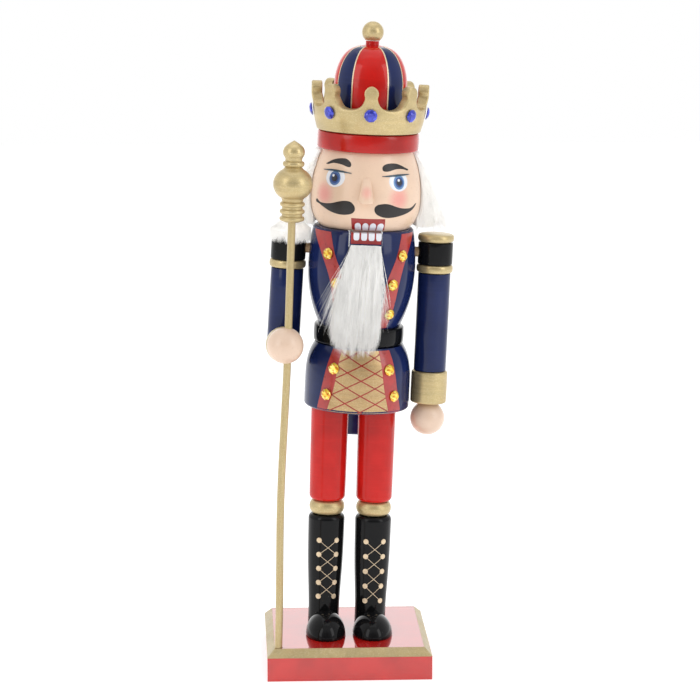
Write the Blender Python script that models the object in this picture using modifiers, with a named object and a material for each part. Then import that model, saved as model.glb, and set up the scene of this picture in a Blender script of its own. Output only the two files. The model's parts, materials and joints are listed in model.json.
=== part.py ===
"""A painted wooden nutcracker figure: a crowned king with a sceptre, standing on a square base.

Metres, +Z up.  The origin is the centre of the base's underside and the figure faces -Y.  Names
call the -X side left and the +X side right, as someone facing the figure sees it: the sceptre is in
the left hand.  The figure leans slightly towards +X: its pieces are placed under an empty that stands
on the base and is turned by that lean, so their heights are measured from the top of the base along
the figure's own axis.  The jaw is the front end of a lever that runs back through
a slot in the chest, turns on a pin and hangs down behind as the coat's tail.
"""

import math

import bmesh
import bpy
from mathutils import Matrix, Vector

GAP = 0.0003                 # clearance between pieces that touch or are glued
MERGE = 0.00001
SEGMENTS = 24                # facets round a large turned piece
ARM_SEGMENTS = 16
SMALL_SEGMENTS = 12

# Base and stance
BASE_SIDE = 0.097
BASE_HEIGHT = 0.0186
BASE_BEVEL = 0.0043
LEAN = math.radians(2.5)
LEG_X = 0.0140               # each leg's distance from the figure's axis
LEG_TILT = math.radians(-0.65)   # the legs lean a little less than the body

# Levels above the base's top
BOOT_TOP = 0.0706
CUFF_RING_TOP = 0.0796
SKIRT_BOTTOM = 0.1372
SKIRT_TOP = 0.1754
BELT_TOP = 0.1868
CHEST_TOP = 0.2447
HEAD_BOTTOM = 0.2450
HEAD_TOP = 0.2900
BAND_TOP = 0.3010
CROWN_TOP = 0.3250
DOME_SHOULDER = 0.3270
DOME_TOP = 0.3515
NECK_TOP = 0.3532
FIGURE_TOP = 0.3645

# Legs
BOOT_RADIUS_TOP = 0.0109
BOOT_RADIUS_CALF = 0.0105
BOOT_RADIUS_SOLE = 0.0093
LEG_TENON_RADIUS = 0.0045
CUFF_RING_RADIUS = 0.0105
TROUSER_RADIUS = 0.0108
HIP_TENON_RADIUS = 0.0050
HIP_TENON_LENGTH = 0.0120
SHOE_HALF_WIDTH = 0.0118
SHOE_HALF_LENGTH = 0.0172
SHOE_HEIGHT = 0.0128
SHOE_Y = -0.0142
SHOE_SHIFT = 0.0010          # both shoes point slightly towards +X
SCREW_RADIUS = 0.0018
SCREW_HEAD_RADIUS = 0.0040
SCREW_TOP = 0.0340

# Coat
SKIRT_RADIUS = 0.0312
SKIRT_TOP_RADIUS = 0.0262
SKIRT_SHOULDER = 0.1500      # level above which the skirt rounds in to the belt
SKIRT_EDGE = 0.0018
BELT_RADIUS = 0.0265
CHEST_RADIUS = 0.0317
CHEST_X = -0.0005            # the chest and its lever stand a little to one side
CHEST_WIDEST = 0.2220
CHEST_WAIST_RADIUS = 0.0243
CHEST_NECK_RADIUS = 0.0294
WAIST_TENON_RADIUS = 0.0060
WAIST_TENON_BOTTOM = 0.1665
SLOT_HALF_WIDTH = 0.0098
SLOT_FLOOR = 0.2100
SKIRT_FULLNESS = 3.2         # the higher, the later a surface curves in
CHEST_FULLNESS = 2.2
COAT_TURN = 1.5              # degrees that the coat's front is turned towards +X
CHEST_BUTTONS = ((43.0, 0.2307), (31.0, 0.2140), (32.5, 0.1963))
SKIRT_BUTTONS = ((31.5, 0.1635), (39.0, 0.1478))
BUTTON_RADIUS = 0.0035
BUTTON_HEIGHT = 0.0022

# Head and crown
HEAD_RADIUS = 0.0323
HEAD_WIDEST = 0.2620
HEAD_CROWN_RADIUS = 0.0265
HEAD_CHIN_RADIUS = 0.0265
BROW_FULLNESS = 2.2
CHIN_FULLNESS = 2.6
NOSE_BOTTOM = 0.2620
NOSE_TOP = 0.2765
NOSE_X = -0.0015
NOSE_TIP_Y = -0.0385
NOSE_BRIDGE_Y = -0.0325
NOSE_BACK_Y = -0.0270
NOSE_HALF_WIDTHS = {"bridge": 0.0025, "tip": 0.0038, "upper_back": 0.0034, "lower_back": 0.0065}
NOSE_EDGE = 0.0008
BAND_RADIUS = 0.0297
CROWN_RIM_RADIUS = 0.0302
CROWN_TOP_RADIUS = 0.0336
CROWN_FLARE_TOP = 0.3200
CROWN_WALL = 0.0062
CROWN_POINTS = 8
CROWN_TURN = -1.8            # degrees
SCALLOP_RADIUS = 0.0097
SCALLOP_Z = 0.3247
POINT_RADIUS = 0.0042
POINT_DEPTH = 0.0072
POINT_Z = 0.3248
GEM_RADIUS = 0.00385
GEM_HEIGHT = 0.0018
GEM_Z = 0.3125
DOME_RADIUS = 0.0214
DOME_NECK_RADIUS = 0.0039
FINIAL_RADIUS = 0.0063

# Hair
HAIR_OUTLINE = (             # radius, height down its outer side
    (0.0355, 0.2897), (0.0375, 0.2867), (0.0400, 0.2740),
    (0.0435, 0.2580), (0.0455, 0.2480), (0.0445, 0.2438),
)
HAIR_LINING = 0.0006         # space between the hair and the head
HAIR_NAPE_RADIUS = 0.0306
HAIR_FRONT_Y = -0.0060

# Jaw lever, and the (y, z) outline of the board it is cut from
PIVOT_Y = -0.0020
PIVOT_Z = 0.2260
PIN_RADIUS = 0.0015
PIN_HALF_LENGTH = 0.0220
LEVER_HALF_WIDTH = 0.0093
LEVER_HOLE_RADIUS = 0.00162
JAW_TOP = 0.2444
LEVER_OUTLINE = (
    (-0.0332, JAW_TOP), (-0.0332, 0.2220), (-0.0240, 0.2210), (-0.0090, 0.2190), (0.0040, 0.2190),
    (0.0270, 0.2145), (0.0314, 0.2125), (0.0324, 0.2110), (0.0324, 0.1130), (0.0334, 0.1120),
    (0.0370, 0.1120), (0.0380, 0.1130), (0.0380, 0.2225), (0.0350, 0.2255), (0.0150, 0.2300),
    (-0.0020, 0.2320), (-0.0110, 0.2330), (-0.0190, 0.2434), (-0.0200, JAW_TOP),
)

# Beard
BEARD_TOP = 0.2378
BEARD_TIP = 0.1710
BEARD_BACK_Y = -0.0336
BEARD_DEPTH = 0.0060
BEARD_HALF_WIDTHS = ((0.0, 0.0092), (0.25, 0.0125), (0.60, 0.0150), (0.85, 0.0120), (1.0, 0.0060))
BEARD_TAPER = 0.7            # width of its front over its back

# Arms, straight one at +X and bent one at -X
ARM_X = 0.0427
BENT_ARM_X = -0.0440           # at the shoulder
BENT_ARM_TILT = math.radians(1.0)   # its elbow stands a little further out
SLEEVE_RADIUS = 0.0096
ARM_BANDS = (                # name, bottom, top, radius, rounded edge
    ("shoulder_cap", 0.2368, 0.2418, 0.0107, 0.0018),
    ("epaulette", 0.2237, 0.2368, 0.0103, 0.0004),
    ("sleeve_ring", 0.2186, 0.2237, 0.0107, 0.0014),
)
SLEEVE_TOP = 0.2186
STRAIGHT_SLEEVE_BOTTOM = 0.1600
STRAIGHT_CUFF_BOTTOM = 0.1405
ARM_CUFF_RADIUS = 0.01065
HAND_RADIUS = 0.0102
STRAIGHT_HAND_Z = 0.1309
ELBOW_Z = 0.1723
FOREARM_PITCH = math.radians(-9.0)
FOREARM_SLEEVE_END = 0.0120
FOREARM_CUFF_END = 0.0320
SCEPTRE_HAND_RADIUS = 0.0106
SCEPTRE_HAND_REACH = 0.0415
SHOULDER_PEG_RADIUS = 0.0030
SHOULDER_PEG_Z = 0.2305
SHOULDER_PEG_INNER = 0.0215
SHOULDER_PEG_OUTER = 0.0410

# Sceptre
SCEPTRE_X = -0.0418
SCEPTRE_Y = -0.0414
SCEPTRE_TILT = math.radians(-0.5)
ROD_RADIUS = 0.0022
ROD_FIT_RADIUS = 0.0026
ROD_BOTTOM = -0.0050
ROD_TOP = 0.2620
ROD_BOW = 0.0014             # the rod bows outwards between the base and the hand
GRIP_Z = 0.1788
SCEPTRE_HEAD_BOTTOM = 0.2508
SCEPTRE_HEAD_TOP = 0.2976
SCEPTRE_BEADS = (            # centre radius, centre height, radii across and along, from angle, to angle
    (0, 0.2908, 0.0063, 0.0056, 60, -38), (0.0045, 0.2842, 0.0018, 0.0018, 80, -80),
    (0, 0.2726, 0.0114, 0.0100, 58, -55),
    (0.0058, 0.2611, 0.0014, 0.0014, 85, -85), (0.0058, 0.2569, 0.0014, 0.0014, 85, -85),
    (0.0058, 0.2528, 0.0014, 0.0014, 85, -85),
)

NAVY = ((0.020, 0.032, 0.145), 0.18, 0.0)
RED = ((0.56, 0.018, 0.012), 0.18, 0.0)
GOLD = ((0.70, 0.52, 0.22), 0.38, 0.6)
BLACK = ((0.010, 0.010, 0.012), 0.14, 0.0)
SKIN = ((0.80, 0.55, 0.38), 0.45, 0.0)
FUR = ((0.88, 0.87, 0.84), 0.95, 0.0)
AMBER = ((0.90, 0.50, 0.02), 0.10, 0.0)
BLUE_GEM = ((0.02, 0.03, 0.60), 0.08, 0.0)
BARE_WOOD = ((0.62, 0.42, 0.24), 0.60, 0.0)
STEEL = ((0.55, 0.55, 0.56), 0.30, 1.0)


def clear_scene():
    for leftover in list(bpy.data.objects):
        bpy.data.objects.remove(leftover, do_unlink=True)


def new_collection(name):
    collection = bpy.data.collections.new(name)
    bpy.context.scene.collection.children.link(collection)
    return collection


def place(item, collection, parent, location, rotation):
    collection.objects.link(item)
    item.parent = parent
    item.location = location
    item.rotation_euler = rotation
    return item


def add_empty(name, parent=None, location=(0, 0, 0), rotation=(0, 0, 0)):
    return place(bpy.data.objects.new(name, None), PARTS, parent, location, rotation)


def add_piece(name, mesh, finish, parent=None, location=(0, 0, 0), rotation=(0, 0, 0)):
    """Link a mesh as a named sub-part with its own painted material."""
    colour, roughness, metallic = finish
    material = bpy.data.materials.new(name)
    material.use_nodes = True
    shader = material.node_tree.nodes["Principled BSDF"]
    shader.inputs["Base Color"].default_value = (*colour, 1.0)
    shader.inputs["Roughness"].default_value = roughness
    shader.inputs["Metallic"].default_value = metallic
    mesh.materials.append(material)
    return place(bpy.data.objects.new(name, mesh), PARTS, parent, location, rotation)


def add_cutter(name, mesh, parent=None, location=(0, 0, 0), rotation=(0, 0, 0)):
    cutter = place(bpy.data.objects.new(name, mesh), CUTTERS, parent, location, rotation)
    cutter.hide_render = True
    cutter.display_type = "WIRE"
    return cutter


def cut(piece, *cutters):
    for cutter in cutters:
        boolean = piece.modifiers.new(cutter.name, "BOOLEAN")
        boolean.operation = "DIFFERENCE"
        boolean.solver = "EXACT"
        boolean.object = cutter


def unite(piece, *others):
    for other in others:
        boolean = piece.modifiers.new(other.name, "BOOLEAN")
        boolean.operation = "UNION"
        boolean.solver = "EXACT"
        boolean.object = other


def cylinder_mesh(name, radius, low, high, segments=SMALL_SEGMENTS, top_radius=None):
    """A capped cylinder or cone along Z from low to high."""
    shape = bmesh.new()
    bmesh.ops.create_cone(
        shape, cap_ends=True, segments=segments, radius1=radius,
        radius2=radius if top_radius is None else top_radius, depth=high - low,
        matrix=Matrix.Translation((0, 0, (low + high) / 2)))
    return finish_mesh(name, shape)


def box_mesh(name, low, high):
    low, high = Vector(low), Vector(high)
    shape = bmesh.new()
    size = Matrix.Diagonal((*(high - low), 1.0))
    bmesh.ops.create_cube(shape, size=1.0, matrix=Matrix.Translation((low + high) / 2) @ size)
    return finish_mesh(name, shape)


def ellipsoid_mesh(name, radii, segments=SMALL_SEGMENTS, rings=10):
    shape = bmesh.new()
    bmesh.ops.create_uvsphere(
        shape, u_segments=segments, v_segments=rings, radius=1.0, matrix=Matrix.Diagonal((*radii, 1.0)))
    return finish_mesh(name, shape)


def finish_mesh(name, shape):
    mesh = bpy.data.meshes.new(name)
    shape.to_mesh(mesh)
    shape.free()
    mesh.shade_smooth()
    mesh.set_sharp_from_angle(angle=math.radians(40))
    return mesh


def arc(centre, radii, start, end, count):
    """Points of an elliptical arc in (radius, height), angles in degrees from the outward direction."""
    points = []
    for i in range(count + 1):
        angle = math.radians(start + (end - start) * i / count)
        points.append((centre[0] + radii[0] * math.cos(angle), centre[1] + radii[1] * math.sin(angle)))
    return points


def profile_mesh(name, profile, closed):
    mesh = bpy.data.meshes.new(name)
    edges = [(i, i + 1) for i in range(len(profile) - 1)]
    if closed:
        edges.append((len(profile) - 1, 0))
    mesh.from_pydata([(radius, 0, height) for radius, height in profile], edges, [])
    return mesh


def add_screw(item, segments):
    screw = item.modifiers.new("Turning", "SCREW")
    screw.steps = segments
    screw.render_steps = segments
    screw.use_merge_vertices = True
    screw.merge_threshold = MERGE
    screw.use_smooth_shade = True


def turned(name, profile, finish, parent, location=(0, 0, 0), rotation=(0, 0, 0), segments=SEGMENTS,
           closed=False):
    """Revolve a profile of (radius, height) points that runs down the piece's outer side."""
    piece = add_piece(name, profile_mesh(name, profile, closed), finish, parent, location, rotation)
    add_screw(piece, segments)
    return piece


def turned_cutter(name, profile, parent, location=(0, 0, 0), rotation=(0, 0, 0), segments=SEGMENTS):
    cutter = add_cutter(name, profile_mesh(name, profile, False), parent, location, rotation)
    add_screw(cutter, segments)
    return cutter


def drum_profile(radius, bottom, top, edge, count=2):
    """A disc or cylinder whose two outer edges are rounded."""
    inner = radius - edge
    upper = arc((inner, top - edge), (edge, edge), 90, 0, count)
    lower = arc((inner, bottom + edge), (edge, edge), 0, -90, count)
    return [(0, top)] + upper + lower + [(0, bottom)]


def chest_radius(height):
    """The chest's outside: widest at the shoulders, in to the waist and a little in to the neck."""
    if height > CHEST_WIDEST:
        share = (height - CHEST_WIDEST) / (CHEST_TOP - CHEST_WIDEST)
        return CHEST_RADIUS - (CHEST_RADIUS - CHEST_NECK_RADIUS) * share ** 2
    share = (CHEST_WIDEST - height) / (CHEST_WIDEST - BELT_TOP)
    return CHEST_RADIUS - (CHEST_RADIUS - CHEST_WAIST_RADIUS) * share ** CHEST_FULLNESS


def skirt_radius(height):
    """The skirt's outside: nearly straight, and rounded in towards the belt."""
    share = max(0.0, (height - SKIRT_SHOULDER) / (SKIRT_TOP - SKIRT_SHOULDER))
    return SKIRT_RADIUS - (SKIRT_RADIUS - SKIRT_TOP_RADIUS) * share ** SKIRT_FULLNESS


def head_radius(height):
    """The head's outside: an egg that narrows to the hat and is rounded in at the chin."""
    if height > HEAD_WIDEST:
        share = (height - HEAD_WIDEST) / (HEAD_TOP - HEAD_WIDEST)
        return HEAD_RADIUS - (HEAD_RADIUS - HEAD_CROWN_RADIUS) * share ** BROW_FULLNESS
    share = (HEAD_WIDEST - height) / (HEAD_WIDEST - HEAD_BOTTOM)
    return HEAD_RADIUS - (HEAD_RADIUS - HEAD_CHIN_RADIUS) * share ** CHIN_FULLNESS


def crown_radius(height):
    """The crown's outside: flared from its rim, then upright."""
    share = min(1.0, (height - BAND_TOP) / (CROWN_FLARE_TOP - BAND_TOP))
    return CROWN_RIM_RADIUS + (CROWN_TOP_RADIUS - CROWN_RIM_RADIUS) * math.sin(share * math.pi / 2)


def sampled(radius_at, top, bottom, count, offset=0.0):
    heights = [top + (bottom - top) * i / count for i in range(count + 1)]
    return [(radius_at(height) + offset, height) for height in heights]


def on_surface(radius_at, degrees, height):
    """Where a stone sits on a turned surface: its place, and its turn with +Z pointing outwards."""
    step = 0.0005
    slope = (radius_at(height - step) - radius_at(height + step)) / (2 * step)
    around = math.radians(degrees)
    outward = Vector((math.sin(around), -math.cos(around), slope)).normalized()
    radius = radius_at(height)
    spot = Vector((radius * math.sin(around), -radius * math.cos(around), height)) + outward * GAP
    return spot, outward.to_track_quat("Z", "Y").to_euler()


def build_base(figure):
    shape = bmesh.new()
    size = Matrix.Diagonal((BASE_SIDE, BASE_SIDE, BASE_HEIGHT, 1.0))
    bmesh.ops.create_cube(shape, size=1.0, matrix=Matrix.Translation((0, 0, BASE_HEIGHT / 2)) @ size)
    rim = [edge for edge in shape.edges if all(v.co.z > BASE_HEIGHT / 2 for v in edge.verts)]
    bmesh.ops.bevel(shape, geom=rim, offset=BASE_BEVEL, segments=1, affect="EDGES")
    base = add_piece("base_plate", finish_mesh("base_plate", shape), RED)
    for side, x in SIDES:
        profile = [
            (0, BASE_HEIGHT + 0.001), (SCREW_RADIUS + GAP, BASE_HEIGHT + 0.001), (SCREW_RADIUS + GAP, 0.0032),
            (SCREW_HEAD_RADIUS + GAP, 0.0006), (SCREW_HEAD_RADIUS + GAP, -0.001), (0, -0.001)]
        cut(base, turned_cutter("screw_way_" + side, profile, None, (x * LEG_X, 0, 0),
                                segments=SMALL_SEGMENTS))
        build_screw(side, x)
    socket = cylinder_mesh("rod_socket", ROD_FIT_RADIUS, ROD_BOTTOM - GAP, 0.005)
    cut(base, add_cutter("rod_socket", socket, figure, (SCEPTRE_X, SCEPTRE_Y, 0), (0, SCEPTRE_TILT, 0)))


def build_screw(side, x):
    """A countersunk wood screw that comes up through the base into the boot."""
    profile = [
        (0, SCREW_TOP), (0.0006, SCREW_TOP - 0.0005), (SCREW_RADIUS, SCREW_TOP - 0.004),
        (SCREW_RADIUS, 0.0030),
        (SCREW_HEAD_RADIUS, 0.0008), (SCREW_HEAD_RADIUS, 0.0005), (0, 0.0005)]
    turned("base_screw_" + side, profile, STEEL, None, (x * LEG_X, 0, 0), segments=SMALL_SEGMENTS)


def build_leg(figure, side, x):
    """Boot, toe cap, gold cuff ring and trouser leg, stacked on the boot's tenon."""
    leg = add_empty("leg_" + side, figure, (x * LEG_X, 0, 0), (0, LEG_TILT, 0))
    tenon_top = CUFF_RING_TOP + 0.0080
    boot_profile = [(0, tenon_top), (LEG_TENON_RADIUS, tenon_top), (LEG_TENON_RADIUS, BOOT_TOP)]
    boot_profile += arc((BOOT_RADIUS_TOP - 0.001, BOOT_TOP - 0.001), (0.001, 0.001), 90, 0, 2)
    boot_profile += [(BOOT_RADIUS_CALF, 0.0420), (BOOT_RADIUS_SOLE, 0.0150)]
    boot_profile += [(BOOT_RADIUS_SOLE, -0.0020), (0, -0.0020)]
    boot = turned("boot_" + side, boot_profile, BLACK, leg, segments=ARM_SEGMENTS)
    way = cylinder_mesh("boot_screw_way_" + side, SCREW_RADIUS + GAP, BASE_HEIGHT - 0.005, SCREW_TOP + GAP)
    cut(boot, FLOOR, add_cutter("boot_screw_way_" + side, way, None, (x * LEG_X, 0, 0)))

    toe = ellipsoid_mesh("shoe_" + side, (SHOE_HALF_WIDTH, SHOE_HALF_LENGTH, SHOE_HEIGHT), 16, 10)
    shoe = add_piece("shoe_" + side, toe, BLACK, leg, (SHOE_SHIFT, SHOE_Y, 0.0008))
    ankle = cylinder_mesh("ankle_" + side, BOOT_RADIUS_SOLE + 0.0006, -0.010, 0.030, ARM_SEGMENTS)
    cut(shoe, FLOOR, add_cutter("ankle_" + side, ankle, leg))

    middle = (BOOT_TOP + CUFF_RING_TOP) / 2
    half = (CUFF_RING_TOP - BOOT_TOP) / 2 - GAP
    bulge = arc((CUFF_RING_RADIUS - 0.0030, middle), (0.0030, half), 90, -90, 6)
    hole = LEG_TENON_RADIUS + GAP
    turned("boot_cuff_" + side, bulge + [(hole, middle - half), (hole, middle + half)], GOLD, leg,
           segments=ARM_SEGMENTS, closed=True)

    bottom = CUFF_RING_TOP
    top = SKIRT_BOTTOM - 2 * GAP
    mortise_top = tenon_top + GAP
    profile = [
        (0, top + HIP_TENON_LENGTH), (HIP_TENON_RADIUS, top + HIP_TENON_LENGTH), (HIP_TENON_RADIUS, top),
        (TROUSER_RADIUS + 0.0004, top)]
    profile += arc((TROUSER_RADIUS - 0.0022, bottom + 0.0030), (0.0022, 0.0030), 0, -90, 3)
    profile += [(hole, bottom), (hole, mortise_top), (0, mortise_top)]
    turned("trouser_" + side, profile, RED, leg, segments=ARM_SEGMENTS)


def build_skirt(figure):
    profile = [(0, SKIRT_TOP)] + sampled(skirt_radius, SKIRT_TOP, SKIRT_SHOULDER, 6)
    profile += arc((SKIRT_RADIUS - SKIRT_EDGE, SKIRT_BOTTOM + SKIRT_EDGE), (SKIRT_EDGE, SKIRT_EDGE),
                   0, -90, 3)
    profile += [(0, SKIRT_BOTTOM)]
    skirt = turned("skirt_block", profile, NAVY, figure)
    for side, x in SIDES:
        hole = cylinder_mesh("hip_mortise_" + side, HIP_TENON_RADIUS + GAP, SKIRT_BOTTOM - 0.005,
                             SKIRT_BOTTOM + HIP_TENON_LENGTH + GAP)
        cut(skirt, add_cutter("hip_mortise_" + side, hole, figure, (x * LEG_X, 0, 0), (0, LEG_TILT, 0)))
    waist = cylinder_mesh("waist_mortise", WAIST_TENON_RADIUS + GAP, WAIST_TENON_BOTTOM - GAP,
                          SKIRT_TOP + 0.005)
    cut(skirt, add_cutter("waist_mortise", waist, figure, (CHEST_X, 0, 0)))


def build_belt(figure):
    hole = WAIST_TENON_RADIUS + GAP
    bottom = SKIRT_TOP + GAP
    top = BELT_TOP - GAP
    profile = arc((BELT_RADIUS - 0.0008, top - 0.0008), (0.0008, 0.0008), 90, 0, 1)
    profile += arc((BELT_RADIUS - 0.0012, bottom + 0.0012), (0.0012, 0.0012), 0, -90, 1)
    profile += [(hole, bottom), (hole, top)]
    turned("belt", profile, BLACK, figure, (CHEST_X, 0, 0), closed=True)


def build_chest(figure):
    """The chest with the lever's slot, the pin's two bores and the shoulder pegs' holes."""
    edge = 0.0010
    profile = [(0, CHEST_TOP), (CHEST_NECK_RADIUS - edge, CHEST_TOP)]
    profile += sampled(chest_radius, CHEST_TOP - edge, BELT_TOP, 10)
    profile += [(WAIST_TENON_RADIUS, BELT_TOP), (WAIST_TENON_RADIUS, WAIST_TENON_BOTTOM)]
    profile += [(0, WAIST_TENON_BOTTOM)]
    chest = turned("chest_block", profile, NAVY, figure, (CHEST_X, 0, 0))
    slot = box_mesh("lever_slot", (-SLOT_HALF_WIDTH, -0.05, SLOT_FLOOR),
                    (SLOT_HALF_WIDTH, 0.05, CHEST_TOP + 0.01))
    cut(chest, add_cutter("lever_slot", slot, figure, (CHEST_X, 0, 0)))
    pin_way = cylinder_mesh("pin_way", PIN_RADIUS + GAP, -PIN_HALF_LENGTH - GAP, PIN_HALF_LENGTH + GAP)
    cut(chest, add_cutter("pin_way", pin_way, figure, (CHEST_X, PIVOT_Y, PIVOT_Z), ALONG_X))
    for side, x in SIDES:
        cut(chest, add_peg_cutter(figure, "peg_hole_" + side, x, SHOULDER_PEG_INNER - GAP, 0.040))
        peg = cylinder_mesh("shoulder_peg_" + side, SHOULDER_PEG_RADIUS, SHOULDER_PEG_INNER,
                            SHOULDER_PEG_OUTER)
        add_piece("shoulder_peg_" + side, peg, BARE_WOOD, figure, (0, 0, SHOULDER_PEG_Z),
                  (0, x * math.pi / 2, 0))


def add_peg_cutter(figure, name, x, inner, outer):
    hole = cylinder_mesh(name, SHOULDER_PEG_RADIUS + GAP, inner, outer)
    return add_cutter(name, hole, figure, (0, 0, SHOULDER_PEG_Z), (0, x * math.pi / 2, 0))


def stone_profile(radius, height):
    """A faceted glass stone: flat back, steep girdle, sloping facets and a flat table."""
    return [(0, height), (radius * 0.5, height), (radius, height * 0.45), (radius * 0.92, 0), (0, 0)]


def build_stones(figure):
    groups = (
        ("chest_button", chest_radius, CHEST_BUTTONS, CHEST_X),
        ("skirt_button", skirt_radius, SKIRT_BUTTONS, 0))
    for stem, radius_at, places, centre_x in groups:
        for side, x in SIDES:
            for row, (degrees, height) in enumerate(places, 1):
                spot, turn = on_surface(radius_at, COAT_TURN + x * degrees, height)
                spot.x += centre_x
                turned(f"{stem}_{side}_{row}", stone_profile(BUTTON_RADIUS, BUTTON_HEIGHT), AMBER, figure,
                       spot, turn, segments=8)
    for number in range(CROWN_POINTS):
        spot, turn = on_surface(crown_radius, CROWN_TURN + number * 360 / CROWN_POINTS, GEM_Z)
        turned(f"crown_gem_{number + 1}", stone_profile(GEM_RADIUS, GEM_HEIGHT), BLUE_GEM, figure,
               spot, turn, segments=10)


def build_head(figure):
    profile = [(0, HEAD_TOP)] + sampled(head_radius, HEAD_TOP, HEAD_WIDEST, 6)
    profile += sampled(head_radius, HEAD_WIDEST - 0.003, HEAD_BOTTOM, 6) + [(0, HEAD_BOTTOM)]
    turned("head", profile, SKIN, figure)
    build_nose(figure)


def build_nose(figure):
    """A glued wooden wedge, narrow between the eyes and broad above the moustache."""
    mesh = box_mesh("nose", (-1, NOSE_TIP_Y, NOSE_BOTTOM), (1, NOSE_BACK_Y, NOSE_TOP))
    for vertex in mesh.vertices:
        front = vertex.co.y < (NOSE_TIP_Y + NOSE_BACK_Y) / 2
        upper = vertex.co.z > (NOSE_BOTTOM + NOSE_TOP) / 2
        if front and upper:
            vertex.co.y = NOSE_BRIDGE_Y
            vertex.co.x *= NOSE_HALF_WIDTHS["bridge"]
        elif front:
            vertex.co.x *= NOSE_HALF_WIDTHS["tip"]
        else:
            vertex.co.x *= NOSE_HALF_WIDTHS["upper_back" if upper else "lower_back"]
    nose = add_piece("nose", mesh, SKIN, figure, (NOSE_X, 0, 0))
    soften = nose.modifiers.new("Soften", "BEVEL")
    soften.width = NOSE_EDGE
    soften.segments = 2
    face = [(0, HEAD_TOP)] + sampled(head_radius, HEAD_TOP, HEAD_BOTTOM, 16, GAP) + [(0, HEAD_BOTTOM)]
    cut(nose, turned_cutter("nose_bed", face, figure, segments=48))


def build_hat(figure):
    turned("hat_band", drum_profile(BAND_RADIUS, HEAD_TOP + GAP, BAND_TOP - GAP, 0.0012), RED, figure)
    profile = [(0, NECK_TOP), (DOME_NECK_RADIUS, NECK_TOP), (DOME_NECK_RADIUS, DOME_TOP - 0.0006)]
    for step in range(1, 10):
        share = step / 9
        radius = DOME_NECK_RADIUS + (DOME_RADIUS - DOME_NECK_RADIUS) * math.sin(share * math.pi / 2) ** 0.80
        height = DOME_SHOULDER + (DOME_TOP - 0.0012 - DOME_SHOULDER) * math.cos(share * math.pi / 2)
        profile.append((radius, height))
    profile += [(DOME_RADIUS, BAND_TOP), (0, BAND_TOP)]
    turned("hat_dome", profile, RED, figure)
    centre = FIGURE_TOP - FINIAL_RADIUS
    flat = NECK_TOP + GAP
    lowest = -math.degrees(math.acos(math.sqrt(1 - ((centre - flat) / FINIAL_RADIUS) ** 2)))
    ball = arc((0, centre), (FINIAL_RADIUS, FINIAL_RADIUS), 90, lowest, 9)
    ball[0] = (0, FIGURE_TOP)
    turned("finial_ball", ball + [(0, flat)], GOLD, figure, segments=20)


def build_crown(figure):
    """A flared ring with a scalloped edge and a round lobe on each of its points."""
    bottom = BAND_TOP
    outside = sampled(crown_radius, CROWN_TOP, bottom, 4)
    inside = sampled(crown_radius, bottom, CROWN_TOP, 2, -CROWN_WALL)
    crown = turned("crown", outside + inside, GOLD, figure, segments=40, closed=True)
    middle = CROWN_TOP_RADIUS - CROWN_WALL / 2
    for number in range(CROWN_POINTS):
        around = math.radians(CROWN_TURN + (number + 0.5) * 360 / CROWN_POINTS)
        way = cylinder_mesh(f"scallop_{number}", SCALLOP_RADIUS, 0.022, 0.045, 16)
        cut(crown, add_cutter(f"scallop_{number}", way, figure, (0, 0, SCALLOP_Z),
                              (math.pi / 2, 0, around)))
    for number in range(CROWN_POINTS):
        around = math.radians(CROWN_TURN + number * 360 / CROWN_POINTS)
        lobe = cylinder_mesh(f"point_{number}", POINT_RADIUS, middle - POINT_DEPTH / 2,
                             middle + POINT_DEPTH / 2)
        unite(crown, add_cutter(f"point_{number}", lobe, figure, (0, 0, POINT_Z), (math.pi / 2, 0, around)))


def build_hair(figure):
    """Fur round the back and sides of the head, resting above the shoulders."""
    bottom = HAIR_OUTLINE[-1][1]
    top = HAIR_OUTLINE[0][1]
    over_chest = CHEST_TOP + 3 * GAP
    inside = sampled(head_radius, over_chest, top, 7, HAIR_LINING)
    outside = list(HAIR_OUTLINE) + [(HAIR_NAPE_RADIUS, bottom), (HAIR_NAPE_RADIUS, over_chest)]
    hair = turned("hair", outside + inside, FUR, figure, closed=True)
    front = box_mesh("hair_front", (-0.06, -0.06, bottom - 0.01), (0.06, HAIR_FRONT_Y, top + 0.01))
    cut(hair, add_cutter("hair_front", front, figure))


def build_lever(figure):
    """The jaw, its arm through the chest and the coat tail: one flat board cut to its side view."""
    jaw = add_empty("jaw_pivot", figure, (CHEST_X, PIVOT_Y, PIVOT_Z))
    shape = bmesh.new()
    left = [shape.verts.new((-LEVER_HALF_WIDTH, y - PIVOT_Y, z - PIVOT_Z)) for y, z in LEVER_OUTLINE]
    face = shape.faces.new(left)
    swept = bmesh.ops.extrude_face_region(shape, geom=[face])["geom"]
    moved = [item for item in swept if isinstance(item, bmesh.types.BMVert)]
    bmesh.ops.translate(shape, verts=moved, vec=(2 * LEVER_HALF_WIDTH, 0, 0))
    bmesh.ops.recalc_face_normals(shape, faces=shape.faces)
    lever = add_piece("jaw_lever", finish_mesh("jaw_lever", shape), NAVY, jaw)
    way = cylinder_mesh("lever_hole", LEVER_HOLE_RADIUS, -0.012, 0.012)
    cut(lever, add_cutter("lever_hole", way, jaw, rotation=ALONG_X))
    pin = cylinder_mesh("pivot_pin", PIN_RADIUS, -PIN_HALF_LENGTH, PIN_HALF_LENGTH)
    add_piece("pivot_pin", pin, STEEL, figure, (CHEST_X, PIVOT_Y, PIVOT_Z), ALONG_X)


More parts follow.
